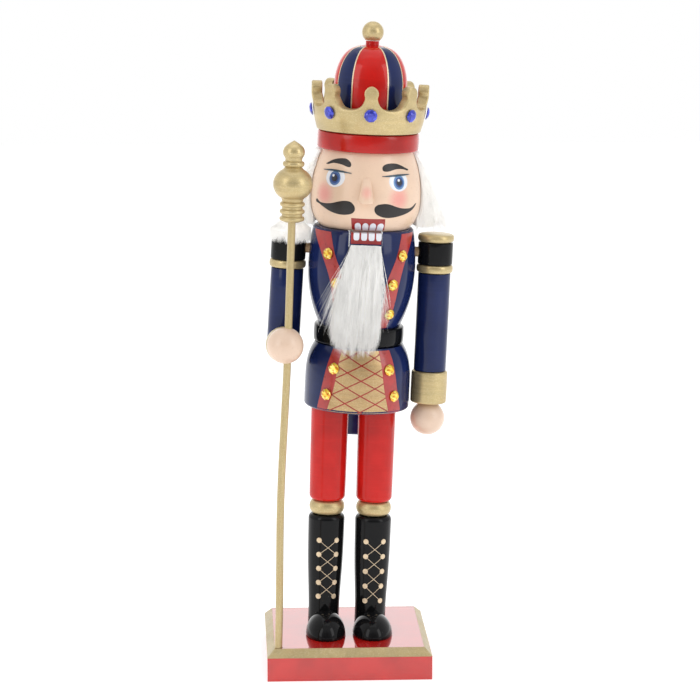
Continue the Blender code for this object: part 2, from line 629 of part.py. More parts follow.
def build_beard(figure):
    """A flat tuft of fur that hangs from the front of the jaw: narrow at the top, wide below, pointed."""
    root = add_empty("beard_root", figure, (CHEST_X, BEARD_BACK_Y, BEARD_TOP))
    length = BEARD_TOP - BEARD_TIP
    shape = bmesh.new()
    rows = []
    for share, half in BEARD_HALF_WIDTHS:
        depth = BEARD_DEPTH * (0.55 + 0.45 * math.sin(math.pi * min(1.0, share + 0.25)))
        front = half * BEARD_TAPER
        corners = [(-half, 0), (half, 0), (front, -depth), (-front, -depth)]
        rows.append([shape.verts.new((x, y, -share * length)) for x, y in corners])
    for upper, lower in zip(rows, rows[1:]):
        for i in range(4):
            shape.faces.new((upper[i], upper[(i + 1) % 4], lower[(i + 1) % 4], lower[i]))
    shape.faces.new(rows[0])
    shape.faces.new(reversed(rows[-1]))
    bmesh.ops.recalc_face_normals(shape, faces=shape.faces)
    add_piece("beard", finish_mesh("beard", shape), FUR, root)


def build_arm_bands(figure, arm, side):
    """Shoulder cap, epaulette and ring above the sleeve; the peg's hole goes in the epaulette."""
    finishes = {"shoulder_cap": GOLD, "epaulette": BLACK, "sleeve_ring": GOLD}
    for name, bottom, top, radius, edge in ARM_BANDS:
        piece = turned(f"{name}_{side}", drum_profile(radius, bottom + GAP / 2, top - GAP / 2, edge),
                       finishes[name], arm, segments=ARM_SEGMENTS)
        if name == "epaulette":
            cut(piece, add_peg_cutter(figure, "arm_peg_hole_" + side, dict(SIDES)[side], 0.0300,
                                      SHOULDER_PEG_OUTER + GAP))


def ball_profile(radius, flat):
    """A ball about the origin whose top is cut flat at a height."""
    start = math.degrees(math.asin(flat / radius))
    return [(0, flat)] + arc((0, 0), (radius, radius), start, -80, 9) + [(0, -radius)]


def build_straight_arm(figure):
    arm = add_empty("arm_right", figure, (ARM_X, 0, 0))
    build_arm_bands(figure, arm, "right")
    turned("sleeve_right", drum_profile(SLEEVE_RADIUS, STRAIGHT_SLEEVE_BOTTOM, SLEEVE_TOP - GAP / 2, 0.0004),
           NAVY, arm, segments=ARM_SEGMENTS)
    cuff = drum_profile(ARM_CUFF_RADIUS, STRAIGHT_CUFF_BOTTOM, STRAIGHT_SLEEVE_BOTTOM - GAP, 0.0012)
    turned("arm_cuff_right", cuff, GOLD, arm, segments=ARM_SEGMENTS)
    ball = ball_profile(HAND_RADIUS, STRAIGHT_CUFF_BOTTOM - GAP - STRAIGHT_HAND_Z)
    turned("hand_right", ball, SKIN, arm, (0, 0, STRAIGHT_HAND_Z), segments=ARM_SEGMENTS)


def build_bent_arm(figure):
    """The sceptre arm: a mitred elbow, then a forearm that points forward and slightly up."""
    foot_x = BENT_ARM_X - SHOULDER_PEG_Z * math.sin(BENT_ARM_TILT)
    arm = add_empty("arm_left", figure, (foot_x, 0, 0), (0, BENT_ARM_TILT, 0))
    build_arm_bands(figure, arm, "left")
    elbow = add_empty("elbow", arm, (0, 0, ELBOW_Z))
    mitre = (math.pi / 2 - FOREARM_PITCH) / 2
    sleeve_bottom = ELBOW_Z - 0.013
    upper = drum_profile(SLEEVE_RADIUS, sleeve_bottom, SLEEVE_TOP - GAP / 2, 0.0004, 1)
    sleeve = turned("sleeve_left", upper, NAVY, arm, segments=ARM_SEGMENTS)
    below = box_mesh("below_mitre", (-0.03, -0.03, -0.04), (0.03, 0.03, GAP / 2))
    cut(sleeve, add_cutter("below_mitre", below, elbow, rotation=(-mitre, 0, 0)))

    forearm = add_empty("forearm", elbow, rotation=(math.pi / 2 + FOREARM_PITCH, 0, 0))
    stub = turned("forearm_sleeve_left", drum_profile(SLEEVE_RADIUS, -0.013, FOREARM_SLEEVE_END, 0.0004, 1),
                  NAVY, forearm, segments=ARM_SEGMENTS)
    above = box_mesh("above_mitre", (-0.03, -0.03, -GAP / 2), (0.03, 0.03, 0.04))
    cut(stub, add_cutter("above_mitre", above, elbow, rotation=(-mitre, 0, 0)))
    cuff = drum_profile(ARM_CUFF_RADIUS, FOREARM_SLEEVE_END + GAP, FOREARM_CUFF_END, 0.0012)
    turned("arm_cuff_left", cuff, GOLD, forearm, segments=ARM_SEGMENTS)
    flat = SCEPTRE_HAND_REACH - FOREARM_CUFF_END - GAP
    hand = turned("hand_left", ball_profile(SCEPTRE_HAND_RADIUS, flat), SKIN, forearm,
                  (0, 0, SCEPTRE_HAND_REACH), (math.pi, 0, 0), segments=ARM_SEGMENTS)
    grip = cylinder_mesh("grip", ROD_FIT_RADIUS, 0.150, 0.210)
    cut(hand, add_cutter("grip", grip, figure, (SCEPTRE_X, SCEPTRE_Y, 0), (0, SCEPTRE_TILT, 0)))


def build_sceptre(figure):
    sceptre = add_empty("sceptre", figure, (SCEPTRE_X, SCEPTRE_Y, 0), (0, SCEPTRE_TILT, 0))
    build_rod(sceptre)
    profile = [(0, SCEPTRE_HEAD_TOP), (0.0022, SCEPTRE_HEAD_TOP - 0.0007)]
    for centre_radius, height, across, along, start, end in SCEPTRE_BEADS:
        profile += arc((centre_radius, height), (across, along), start, end, 10 if across > 0.01 else 4)
    profile += [(0.0045, SCEPTRE_HEAD_BOTTOM), (ROD_FIT_RADIUS, SCEPTRE_HEAD_BOTTOM)]
    profile += [(ROD_FIT_RADIUS, ROD_TOP + GAP), (0, ROD_TOP + GAP)]
    turned("sceptre_head", profile, GOLD, sceptre, segments=ARM_SEGMENTS)


def build_rod(sceptre):
    curve = bpy.data.curves.new("sceptre_rod", "CURVE")
    curve.dimensions = "3D"
    curve.bevel_depth = ROD_RADIUS
    curve.bevel_resolution = 4
    curve.use_fill_caps = True
    bowed = [GRIP_Z * i / 12 for i in range(13)]
    heights = [ROD_BOTTOM] + bowed + [ROD_TOP]
    spline = curve.splines.new("POLY")
    spline.points.add(len(heights) - 1)
    for point, height in zip(spline.points, heights):
        share = min(1.0, max(0.0, height / GRIP_Z))
        point.co = (-ROD_BOW * math.sin(share * math.pi) ** 2, 0, height, 1)
    add_piece("sceptre_rod", curve, GOLD, sceptre)


def build_figure():
    figure = add_empty("figure", None, (0, 0, BASE_HEIGHT), (0, LEAN, 0))
    build_base(figure)
    for side, x in SIDES:
        build_leg(figure, side, x)
    build_skirt(figure)
    build_belt(figure)
    build_chest(figure)
    build_stones(figure)
    build_head(figure)
    build_hat(figure)
    build_crown(figure)
    build_hair(figure)
    build_lever(figure)
    build_beard(figure)
    build_straight_arm(figure)
    build_bent_arm(figure)
    build_sceptre(figure)


clear_scene()
PARTS = new_collection("nutcracker_figure")
CUTTERS = new_collection("cutters")
SIDES = (("left", -1), ("right", 1))
ALONG_X = (0, math.pi / 2, 0)
FLOOR = add_cutter(
    "floor_level", box_mesh("floor_level", (-0.1, -0.1, BASE_HEIGHT - 0.03), (0.1, 0.1, BASE_HEIGHT + GAP)))
build_figure()
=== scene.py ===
import json
import math

import bmesh
import bpy
import numpy as np
from mathutils import Matrix, Vector
from mathutils.geometry import intersect_line_line


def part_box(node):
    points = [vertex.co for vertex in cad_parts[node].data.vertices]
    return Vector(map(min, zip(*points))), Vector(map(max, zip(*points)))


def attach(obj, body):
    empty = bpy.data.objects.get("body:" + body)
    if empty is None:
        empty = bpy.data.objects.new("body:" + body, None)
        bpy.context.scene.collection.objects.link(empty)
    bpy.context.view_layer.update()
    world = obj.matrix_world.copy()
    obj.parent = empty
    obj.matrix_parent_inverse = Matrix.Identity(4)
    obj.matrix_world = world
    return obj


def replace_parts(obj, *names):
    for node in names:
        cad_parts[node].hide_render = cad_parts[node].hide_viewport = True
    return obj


# A painted wooden nutcracker figure. Metres, +Z up; the figure faces -Y, and left and right are as
# someone facing it sees them. Its own frame stands on the base and leans with it. Painted shapes are
# given there as degrees round a turned piece, 0 at the front and growing towards +X, and mm of height.

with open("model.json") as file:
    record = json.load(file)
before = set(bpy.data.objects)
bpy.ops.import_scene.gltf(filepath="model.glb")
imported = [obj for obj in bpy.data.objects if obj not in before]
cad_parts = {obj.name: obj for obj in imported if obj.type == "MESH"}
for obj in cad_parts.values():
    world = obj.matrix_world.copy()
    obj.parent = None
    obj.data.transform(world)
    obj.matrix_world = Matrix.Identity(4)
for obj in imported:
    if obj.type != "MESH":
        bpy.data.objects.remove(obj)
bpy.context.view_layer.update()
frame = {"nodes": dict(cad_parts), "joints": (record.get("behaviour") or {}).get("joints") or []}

MM = 0.001
SIDES = ("left", "right")
LATHE_SEGMENTS = 96
CORNER = math.radians(50)        # a profile's corner sharper than this stays a corner
CURVE_STEPS = 5
BURIED = 0.20 * MM               # how far the edge of a coat of paint goes into its surface
PAINT_EDGE = 0.10 * MM           # width of a coat's rounded edge
PAINT_GRID = 2.0 * MM
COAT = 0.08 * MM                 # height of each coat of paint over the one below

NAVY = (0.0095, 0.0185, 0.0850)
RED = (0.520, 0.0120, 0.0090)
DEEP_RED = (0.330, 0.0180, 0.0160)
GOLD = (0.530, 0.412, 0.196)
PANEL_GOLD = (0.480, 0.315, 0.140)
PALE_GOLD = (0.720, 0.570, 0.390)
BLACK = (0.0060, 0.0062, 0.0068)
SKIN = (0.790, 0.575, 0.425)
HAND_SKIN = (0.740, 0.550, 0.420)
BROW = (0.0110, 0.0080, 0.0080)
LID = (0.012, 0.045, 0.075)
WHITE_PAINT = (0.780, 0.800, 0.860)
IRIS = (0.075, 0.165, 0.370)
LIGHT_IRIS = (0.120, 0.260, 0.500)
INNER_IRIS = (0.020, 0.060, 0.230)
PUPIL = (0.003, 0.005, 0.016)
FUR = (0.930, 0.925, 0.905)

HINGE = next(joint for joint in frame["joints"] if joint["name"] == "jaw_hinge")
LEAN = math.atan2(-HINGE["axis"][2], HINGE["axis"][0])
BASE_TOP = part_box("base_plate")[1].z
FIGURE = Matrix.Translation((0, 0, BASE_TOP)) @ Matrix.Rotation(LEAN, 4, "Y")
CHEST_X = (FIGURE.inverted() @ Vector(HINGE["pos_m"])).x
CHEST = FIGURE @ Matrix.Translation((CHEST_X, 0, 0))


# Measuring the CAD nodes

def vertices(node, matrix):
    """A CAD node's vertices at rest, seen from a frame."""
    points = np.array([vertex.co for vertex in frame["nodes"][node].data.vertices])
    inverse = np.array(matrix.inverted())
    return points @ inverse[:3, :3].T + inverse[:3, 3]


def extent(node, matrix):
    """The low and high corners of a CAD node's box in a frame."""
    points = vertices(node, matrix)
    return points.min(0), points.max(0)


def own_axes(node):
    """A node's distinct corners, their middle, and the spreads and directions of its own axes."""
    points = np.unique(np.round(vertices(node, FIGURE), 6), axis=0)
    middle = points.mean(0)
    return (points, middle, *np.linalg.eigh(np.cov((points - middle).T)))


def frame_along(axis, side, origin):
    """A frame with +Z along an axis and +X along a direction square to it."""
    local = Matrix((side, axis.cross(side), axis)).transposed().to_4x4()
    local.translation = origin
    return FIGURE @ local


def turned_frame(node, towards=(0, 0, 1), grounded=True):
    """The frame of a turned node: +Z along its axis, its origin level with the base or at its middle."""
    points, centre, spread, directions = own_axes(node)
    odd = 0 if spread[1] - spread[0] > spread[2] - spread[1] else 2
    axis = Vector(directions[:, odd])
    if axis.dot(Vector(towards)) < 0:
        axis.negate()
    centre = Vector(centre)
    origin = centre - axis * (centre.z / axis.z) if grounded else centre
    side = Vector((1, 0, 0))
    return frame_along(axis, (side - axis * axis.dot(side)).normalized(), origin)


def outline(node, matrix, least=0.0):
    """The (radius, height) points of a turned node's outer side, from the bottom up."""
    points = vertices(node, matrix)
    radii = np.hypot(points[:, 0], points[:, 1])
    order = np.argsort(points[:, 2])
    levels = [[order[0]]]
    for index in order[1:]:
        if points[index, 2] - points[levels[-1][-1], 2] > 0.03 * MM:
            levels.append([])
        levels[-1].append(index)
    profile = []
    for level in levels:
        radius = radii[level].max()
        rim = [index for index in level if radii[index] > radius - 0.15 * MM]
        ring = len({tuple(np.round(points[index], 5)) for index in rim})
        if ring >= 8 and radius > least:
            profile.append((radius, points[level, 2].mean()))
    for end, index in ((0, order[0]), (len(profile), order[-1])):
        pole = points[index, 2]
        near = profile and abs(pole - profile[min(end, len(profile) - 1)][1]) < 1.2 * MM
        if near and radii[index] < 0.1 * MM:
            profile.insert(end, (0.02 * MM, pole))
    return profile


def smoothed(points, steps=CURVE_STEPS, closed=False):
    """A curve through points, which keeps its sharp corners unless it is closed."""
    points = [Vector(point) for point in points]
    count = len(points)
    pieces = count if closed else count - 1
    curve = []
    for i in range(pieces):
        start = points[i]
        end = points[(i + 1) % count]
        before = points[i - 1] if closed or (i > 0 and not is_corner(points, i)) else start
        more = i + 2 < count and not is_corner(points, i + 1)
        after = points[(i + 2) % count] if closed or more else end
        length = (end - start).length
        leave = (end - before).normalized() * length
        arrive = (after - start).normalized() * length
        for step in range(steps):
            t = step / steps
            curve.append(start * (2 * t ** 3 - 3 * t ** 2 + 1) + leave * (t ** 3 - 2 * t ** 2 + t)
                         + end * (3 * t ** 2 - 2 * t ** 3) + arrive * (t ** 3 - t ** 2))
    if not closed:
        curve.append(points[-1])
    return curve


def is_corner(points, i):
    arriving = points[i] - points[i - 1]
    leaving = points[i + 1] - points[i]
    return arriving.angle(leaving, 0) > CORNER


# Materials

def ranged(nodes, links, factor, low, high, start, end, smooth):
    """A value that runs from low to high as factor goes from start to end."""
    node = nodes.new("ShaderNodeMapRange")
    node.interpolation_type = "SMOOTHSTEP" if smooth else "LINEAR"
    for name, value in (("From Min", start), ("From Max", end), ("To Min", low), ("To Max", high)):
        node.inputs[name].default_value = value
    links.new(factor, node.inputs["Value"])
    return node.outputs["Result"]


class Look:
    """A Principled material under construction, in the piece's own coordinates."""

    def __init__(self, name, roughness, metallic=0.0, coat=0.0, specular=0.5):
        self.material = bpy.data.materials.new(name)
        self.material.use_nodes = True
        self.nodes = self.material.node_tree.nodes
        self.links = self.material.node_tree.links
        self.shader = self.nodes["Principled BSDF"]
        self.shader.inputs["Roughness"].default_value = roughness
        self.shader.inputs["Metallic"].default_value = metallic
        self.shader.inputs["Coat Weight"].default_value = coat
        self.shader.inputs["Coat Roughness"].default_value = 0.04
        self.shader.inputs["Specular IOR Level"].default_value = specular
        self.place = self.nodes.new("ShaderNodeTexCoord").outputs["Object"]

    def add(self, kind, **values):
        node = self.nodes.new("ShaderNode" + kind)
        for name, value in values.items():
            node.inputs[name.replace("_", " ")].default_value = value
        return node

    def scaled(self, scale):
        mapping = self.add("Mapping", Scale=scale)
        self.links.new(self.place, mapping.inputs["Vector"])
        return mapping.outputs["Vector"]

    def noise(self, scale, detail=3.0, roughness=0.5, distortion=0.0):
        noise = self.add("TexNoise", Scale=1.0, Detail=detail, Roughness=roughness, Distortion=distortion)
        self.links.new(self.scaled(scale), noise.inputs["Vector"])
        return noise.outputs["Fac"]

    def between(self, factor, low, high, start=0.35, end=0.65):
        """A colour that runs from low to high as factor goes from start to end."""
        ramp = self.nodes.new("ShaderNodeValToRGB")
        ramp.color_ramp.elements[0].position = start
        ramp.color_ramp.elements[1].position = end
        ramp.color_ramp.elements[0].color = (*low, 1)
        ramp.color_ramp.elements[1].color = (*high, 1)
        self.links.new(factor, ramp.inputs["Fac"])
        return ramp.outputs["Color"]

    def over(self, factor, below, colour):
        """Another colour laid over one by a factor."""
        mix = self.nodes.new("ShaderNodeMix")
        mix.data_type = "RGBA"
        self.links.new(factor, mix.inputs[0])
        self.links.new(below, mix.inputs[6])
        mix.inputs[7].default_value = (*colour, 1)
        return mix.outputs[2]

    def ranged(self, factor, low, high, start=0.3, end=0.7, smooth=False):
        return ranged(self.nodes, self.links, factor, low, high, start, end, smooth)

    def near(self, spot, radius, strength):
        """A soft round mask about a point."""
        distance = self.nodes.new("ShaderNodeVectorMath")
        distance.operation = "DISTANCE"
        distance.inputs[1].default_value = spot
        self.links.new(self.place, distance.inputs[0])
        return self.ranged(distance.outputs["Value"], strength, 0.0, radius * 0.15, radius, smooth=True)

    def bump(self, height, distance, strength=1.0):
        bump = self.add("Bump", Strength=strength, Distance=distance)
        self.links.new(height, bump.inputs["Height"])
        self.links.new(bump.outputs["Normal"], self.shader.inputs["Normal"])

    def finish(self, colour, roughness=None):
        self.links.new(colour, self.shader.inputs["Base Color"])
        if roughness is not None:
            self.links.new(roughness, self.shader.inputs["Roughness"])
        return self.material


def shade(colour, factor):
    return tuple(min(1.0, channel * factor) for channel in colour)


def lacquer(name, colour, roughness=0.10, coat=0.08, specular=0.24, streak=(40, 40, 700), variation=0.10):
    """Gloss paint on turned wood: faint brush streaks, pooled colour and a slightly uneven surface."""
    look = Look(name, roughness, coat=coat, specular=specular)
    pooled = look.noise((60, 60, 60), 2.0)
    streaks = look.noise(streak, 4.0, 0.6)
    base = look.between(pooled, shade(colour, 1 - variation), shade(colour, 1 + variation))
    worn = look.ranged(streaks, 0.0, 0.30, 0.55, 0.80)
    look.bump(streaks, 0.018 * MM, 0.8)
    return look.finish(look.over(worn, base, shade(colour, 1.5)),
                       look.ranged(streaks, roughness * 0.8, roughness * 1.3))


def satin_gold(name, colour=GOLD, streak=(60, 60, 900), roughness=0.36, metallic=0.55):
    """Champagne metal paint: fine flake, brushed bands and darker rubbed patches."""
    look = Look(name, roughness, metallic=metallic, coat=0.15)
    flake = look.noise((2600, 2600, 2600), 1.0)
    bands = look.noise(streak, 4.0, 0.6)
    rubbed = look.noise((45, 45, 60), 3.0)
    base = look.between(bands, shade(colour, 0.90), shade(colour, 1.08))
    base = look.over(look.ranged(rubbed, 0.0, 0.45, 0.56, 0.78), base, (0.50, 0.34, 0.15))
    base = look.over(look.ranged(flake, 0.0, 0.35, 0.50, 0.75), base, (0.95, 0.86, 0.62))
    look.bump(bands, 0.03 * MM, 0.8)
    return look.finish(base, look.ranged(rubbed, roughness * 0.85, roughness * 1.25))


def flesh(name, colour, blushes=()):
    """Satin skin-coloured paint, with pink rubbed in at some places."""
    look = Look(name, 0.30, coat=0.25)
    soft = look.noise((70, 70, 70), 3.0)
    fine = look.noise((500, 500, 1500), 3.0)
    base = look.between(soft, shade(colour, 0.965), shade(colour, 1.035))
    for spot, radius, strength in blushes:
        base = look.over(look.near(spot, radius, strength), base, (0.830, 0.230, 0.230))
    look.bump(fine, 0.012 * MM, 0.8)
    return look.finish(base, look.ranged(fine, 0.26, 0.38))


def dry_paint(name, colour, roughness=0.32, coat=0.2, variation=0.14):
    """A hand-painted detail."""
    look = Look(name, roughness, coat=coat)
    brushed = look.noise((250, 250, 250), 4.0, 0.65)
    look.bump(brushed, 0.015 * MM, 0.8)
    base = look.between(brushed, shade(colour, 1 - variation), shade(colour, 1 + variation))
    return look.finish(base, look.ranged(brushed, roughness * 0.8, roughness * 1.25))


def cut_glass(name, painted_light_tones, scale):
    """A faceted stone backed with foil, its colour broken into cells of a deep, a middle and a bright tone:
    painted glints and shade standing in for the light that the facets and foil throw back.
    """
    look = Look(name, 0.06, metallic=0.25, coat=0.8)
    cells = look.nodes.new("ShaderNodeTexVoronoi")
    cells.inputs["Scale"].default_value = scale
    look.links.new(look.place, cells.inputs["Vector"])
    split = look.nodes.new("ShaderNodeSeparateColor")
    look.links.new(cells.outputs["Color"], split.inputs["Color"])
    ramp = look.nodes.new("ShaderNodeValToRGB")
    ramp.color_ramp.interpolation = "EASE"
    for position, tone in zip((0.10, 0.50, 0.90), painted_light_tones):
        element = ramp.color_ramp.elements.new(position)
        element.color = (*tone, 1)
    ramp.color_ramp.elements.remove(ramp.color_ramp.elements[0])
    ramp.color_ramp.elements.remove(ramp.color_ramp.elements[-1])
    look.links.new(split.outputs["Red"], ramp.inputs["Fac"])
    return look.finish(ramp.outputs["Color"])


def hairs(name, painted_glow):
    # The emission is painted light: the fur glows white by itself, standing in for light scattered through
    # the hairs.
    look = Look(name, 0.55, specular=0.3)
    look.shader.inputs["Sheen Weight"].default_value = 0.3
    look.shader.inputs["Emission Color"].default_value = (1.0, 0.985, 0.955, 1)
    look.shader.inputs["Emission Strength"].default_value = painted_glow
    locks = look.noise((500, 500, 60), 3.0)
    fine = look.noise((3500, 3500, 300), 2.0)
    base = look.between(locks, shade(FUR, 0.82), shade(FUR, 1.03))
    base = look.over(look.ranged(fine, 0.0, 0.35), base, (0.96, 0.95, 0.93))
    look.bump(fine, 0.05 * MM, 0.8)
    return look.finish(base, look.ranged(fine, 0.45, 0.7))


def wood(name):
    look = Look(name, 0.6)
    rings = look.noise((1200, 180, 1200), 4.0, 0.6, 0.4)
    look.bump(rings, 0.05 * MM)
    return look.finish(look.between(rings, (0.40, 0.24, 0.12), (0.66, 0.46, 0.27)))


def steel(name):
    look = Look(name, 0.28, metallic=1.0)
    drawn = look.noise((200, 200, 4000), 3.0)
    look.bump(drawn, 0.01 * MM)
    return look.finish(look.between(drawn, (0.42, 0.42, 0.43), (0.62, 0.62, 0.63)),
                       look.ranged(drawn, 0.22, 0.4))


# Making pieces

def add_object(name, data):
    item = bpy.data.objects.new(name, data)
    bpy.context.scene.collection.objects.link(item)
    return item


def make_piece(name, shapes, matrix, material, body="figure", sharp=40):
    """One closed mesh object out of (points, faces) shapes, riding on a CAD body."""
    points = []
    faces = []
    for shape_points, shape_faces in shapes:
        start = len(points)
        points += [tuple(point) for point in shape_points]
        faces += [[start + index for index in face] for face in shape_faces]
    mesh = bpy.data.meshes.new(name)
    mesh.from_pydata(points, [], faces)
    mesh.validate()
    mesh.shade_smooth()
    mesh.set_sharp_from_angle(angle=math.radians(sharp))
    mesh.materials.append(material)
    piece = add_object(name, mesh)
    piece.matrix_world = matrix
    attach(piece, body)
    return piece


def revolved(profile, segments=LATHE_SEGMENTS):
    """Points and faces of a solid turned from (radius, height) points that run from the bottom up."""
    around = np.arange(segments) * 2 * math.pi / segments
    points = [(0, 0, profile[0][1])]
    for radius, height in profile:
        points += [(radius * math.sin(a), -radius * math.cos(a), height) for a in around]
    points.append((0, 0, profile[-1][1]))
    faces = []
    for j in range(segments):
        k = (j + 1) % segments
        faces.append((0, 1 + k, 1 + j))
        for i in range(len(profile) - 1):
            low = 1 + i * segments
            high = low + segments
            faces.append((low + j, low + k, high + k, high + j))
        last = 1 + (len(profile) - 1) * segments
        faces.append((len(points) - 1, last + j, last + k))
    return points, faces


def turned(node, matrix, material, least=0.0, profile=None):
    """A finely turned piece in place of a faceted CAD node."""
    if profile is None:
        profile = smoothed(outline(node, matrix, least))
    piece = make_piece(node + "_turned", [revolved(profile)], matrix, material)
    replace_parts(piece, node)
    return piece


class Round:
    """The outside of a turned piece, as degrees round it and height."""

    def __init__(self, profile, matrix):
        self.heights = np.array([point[1] for point in profile])
        self.radii = np.array([point[0] for point in profile])
        self.matrix = matrix

    def radius(self, height):
        return float(np.interp(height, self.heights, self.radii))

    def unit(self, height):
        return self.radius(height) * math.pi / 180

    def point(self, degrees, height, rise):
        step = 0.2 * MM
        slope = (self.radius(height - step) - self.radius(height + step)) / (2 * step)
        around = math.radians(degrees)
        outward = Vector((math.sin(around), -math.cos(around), slope)).normalized()
        radius = self.radius(height)
        return Vector((radius * math.sin(around), -radius * math.cos(around), height)) + outward * rise


class Board:
    """A flat front that turns back over its top edge, as mm across and height along it."""

    def __init__(self, depth, top, matrix):
        self.depth = depth
        self.top = top
        self.matrix = matrix

    def unit(self, height):
        return MM

    def point(self, across, height, rise):
        turn = min(max((height - self.top) / (0.8 * MM) + 0.5, 0), 1) * math.pi / 2
        over = max(0, height - self.top)
        level = min(height, self.top)
        return Vector((across * MM, self.depth + over - rise * math.cos(turn), level + rise * math.sin(turn)))


def patch(surface, shape, coat):
    """A raised coat of paint inside an outline of (across, mm of height) points."""
    rise = coat * COAT
    unit = surface.unit(sum(v for u, v in shape) / len(shape) * MM)
    flat = bmesh.new()
    back = flat.faces.new([flat.verts.new((u * unit, v * MM, -BURIED)) for u, v in shape])
    swept = bmesh.ops.extrude_face_region(flat, geom=[back])["geom"]
    front = next(item for item in swept if isinstance(item, bmesh.types.BMFace))
    for vertex in front.verts:
        vertex.co.z = rise * 0.2
    bmesh.ops.inset_region(flat, faces=[front], thickness=PAINT_EDGE, use_even_offset=True)
    for vertex in front.verts:
        vertex.co.z = rise
    bmesh.ops.triangulate(flat, faces=[face for face in flat.faces if len(face.verts) > 4])
    for axis in (0, 1):
        values = [vertex.co[axis] / PAINT_GRID for vertex in flat.verts]
        cut_by_grid(flat, axis, range(math.ceil(min(values)), math.floor(max(values)) + 1))
    bmesh.ops.recalc_face_normals(flat, faces=flat.faces)
    flat.verts.index_update()
    points = [surface.point(vertex.co.x / unit, vertex.co.y, vertex.co.z) for vertex in flat.verts]
    faces = [[vertex.index for vertex in face.verts] for face in flat.faces]
    flat.free()
    return points, faces


def strip(surface, edges, coat, columns=16, step=1.5 * MM):
    """A raised coat of paint between two edges, from (left, right, mm of height) points, bottom up."""
    rows = smoothed([(left, right, height) for left, right, height in edges], 6)
    bottom = rows[0].z * MM
    top = rows[-1].z * MM
    heights = [bottom, bottom + PAINT_EDGE]
    heights += list(np.linspace(bottom, top, max(3, round((top - bottom) / step)))[1:-1])
    heights += [top - PAINT_EDGE, top]
    known = [row.z * MM for row in rows]
    left = np.interp(heights, known, [row.x for row in rows])
    right = np.interp(heights, known, [row.y for row in rows])
    front = []
    back = []
    for i, height in enumerate(heights):
        edge = PAINT_EDGE / surface.unit(height)
        inner = np.linspace(left[i] + edge, right[i] - edge, columns - 1)
        across = [left[i], *inner, right[i]]
        for j, spot in enumerate(across):
            border = i in (0, len(heights) - 1) or j in (0, columns)
            front.append(surface.point(spot, height, -BURIED if border else coat * COAT))
            back.append(surface.point(spot, height, -2 * BURIED))
    return closed_grid(front, back, len(heights), columns + 1)


def everything(shape):
    return shape.verts[:] + shape.edges[:] + shape.faces[:]


def cut_by_grid(shape, axis, lines):
    """Cut a flat shape across an axis at these lines of the paint grid, so that it can bend there."""
    for line in lines:
        spot = [0, 0, 0]
        normal = [0, 0, 0]
        spot[axis] = line * PAINT_GRID
        normal[axis] = 1
        bmesh.ops.bisect_plane(shape, geom=everything(shape), plane_co=spot, plane_no=normal)


def turn_outwards(piece, merge=0.0):
    """Make all of a piece's faces point out, after welding points closer than merge."""
    solid = bmesh.new()
    solid.from_mesh(piece.data)
    if merge:
        bmesh.ops.remove_doubles(solid, verts=solid.verts, dist=merge)
    bmesh.ops.recalc_face_normals(solid, faces=solid.faces)
    solid.to_mesh(piece.data)
    solid.free()


def ring_faces(rings, around, closed=False):
    """Faces between rings of points, and from the last ring back to the first where closed."""
    faces = []
    for i in range(rings if closed else rings - 1):
        near = i * around
        far = (i + 1) % rings * around
        for k in range(around):
            n = (k + 1) % around
            faces.append((near + k, far + k, far + n, near + n))
    return faces


def lofted(rows, around):
    """The faces of a closed body through rows of rings of points."""
    faces = ring_faces(rows, around)
    faces.append(tuple(range(around)))
    faces.append(tuple(reversed(range((rows - 1) * around, rows * around))))
    return faces


def closed_grid(front, back, rows, columns):
    """Two sheets of points in rows, bottom up and left to right, joined round their borders."""
    total = rows * columns
    faces = []
    for i in range(rows - 1):
        for j in range(columns - 1):
            a = i * columns + j
            faces.append((a, a + 1, a + columns + 1, a + columns))
            faces.append((total + a, total + a + columns, total + a + columns + 1, total + a + 1))
    rim = list(range(columns))
    rim += [(i + 1) * columns - 1 for i in range(1, rows)]
    rim += [(rows - 1) * columns + j for j in range(columns - 2, -1, -1)]
    rim += [i * columns for i in range(rows - 2, 0, -1)]
    for a, b in zip(rim, rim[1:] + rim[:1]):
        faces.append((a, total + a, total + b, b))
    return front + back, faces


def stroke(surface, path, widths, coat, step=1.0 * MM):
    """A brushed line along (across, mm of height) points, with its width in mm at even spaces."""
    unit = surface.unit(path[len(path) // 2][1] * MM)
    line = [Vector((u * unit, v * MM)) for u, v in path]
    lengths = np.cumsum([0] + [(b - a).length for a, b in zip(line, line[1:])])
    count = max(3, round(lengths[-1] / step) + 1)
    along = np.linspace(0, lengths[-1], count)
    across = np.interp(along, lengths, [point.x for point in line])
    height = np.interp(along, lengths, [point.y for point in line])
    half = np.interp(np.linspace(0, 1, count), np.linspace(0, 1, len(widths)), widths) * MM / 2
    points = []
    for i in range(count):
        ahead = min(i + 1, count - 1)
        behind = max(i - 1, 0)
        run = Vector((across[ahead] - across[behind], height[ahead] - height[behind])).normalized()
        for side, rise in ((-1, -BURIED), (-0.6, coat * COAT), (0.6, coat * COAT), (1, -BURIED)):
            x = across[i] + run.y * half[i] * side
            z = height[i] - run.x * half[i] * side
            points.append(surface.point(x / unit, z, rise))
    return points, lofted(count, 4)


def paint(name, surface, shapes, material, body="figure"):
    return make_piece(name, shapes, surface.matrix, material, body)


def disc(surface, across, height, radius, ceiling=None, squash=1.0):
    """An outline of a painted dot of a radius in mm, cut off level at a ceiling."""
    unit = surface.unit(height * MM) / MM
    points = []
    for i in range(28):
        angle = 2 * math.pi * i / 28
        v = height + radius * squash * math.sin(angle)
        if ceiling is not None:
            v = min(v, ceiling + 0.001 * math.cos(angle))
        points.append((across + radius * math.cos(angle) / unit, v))
    return points


# Materials of the pieces

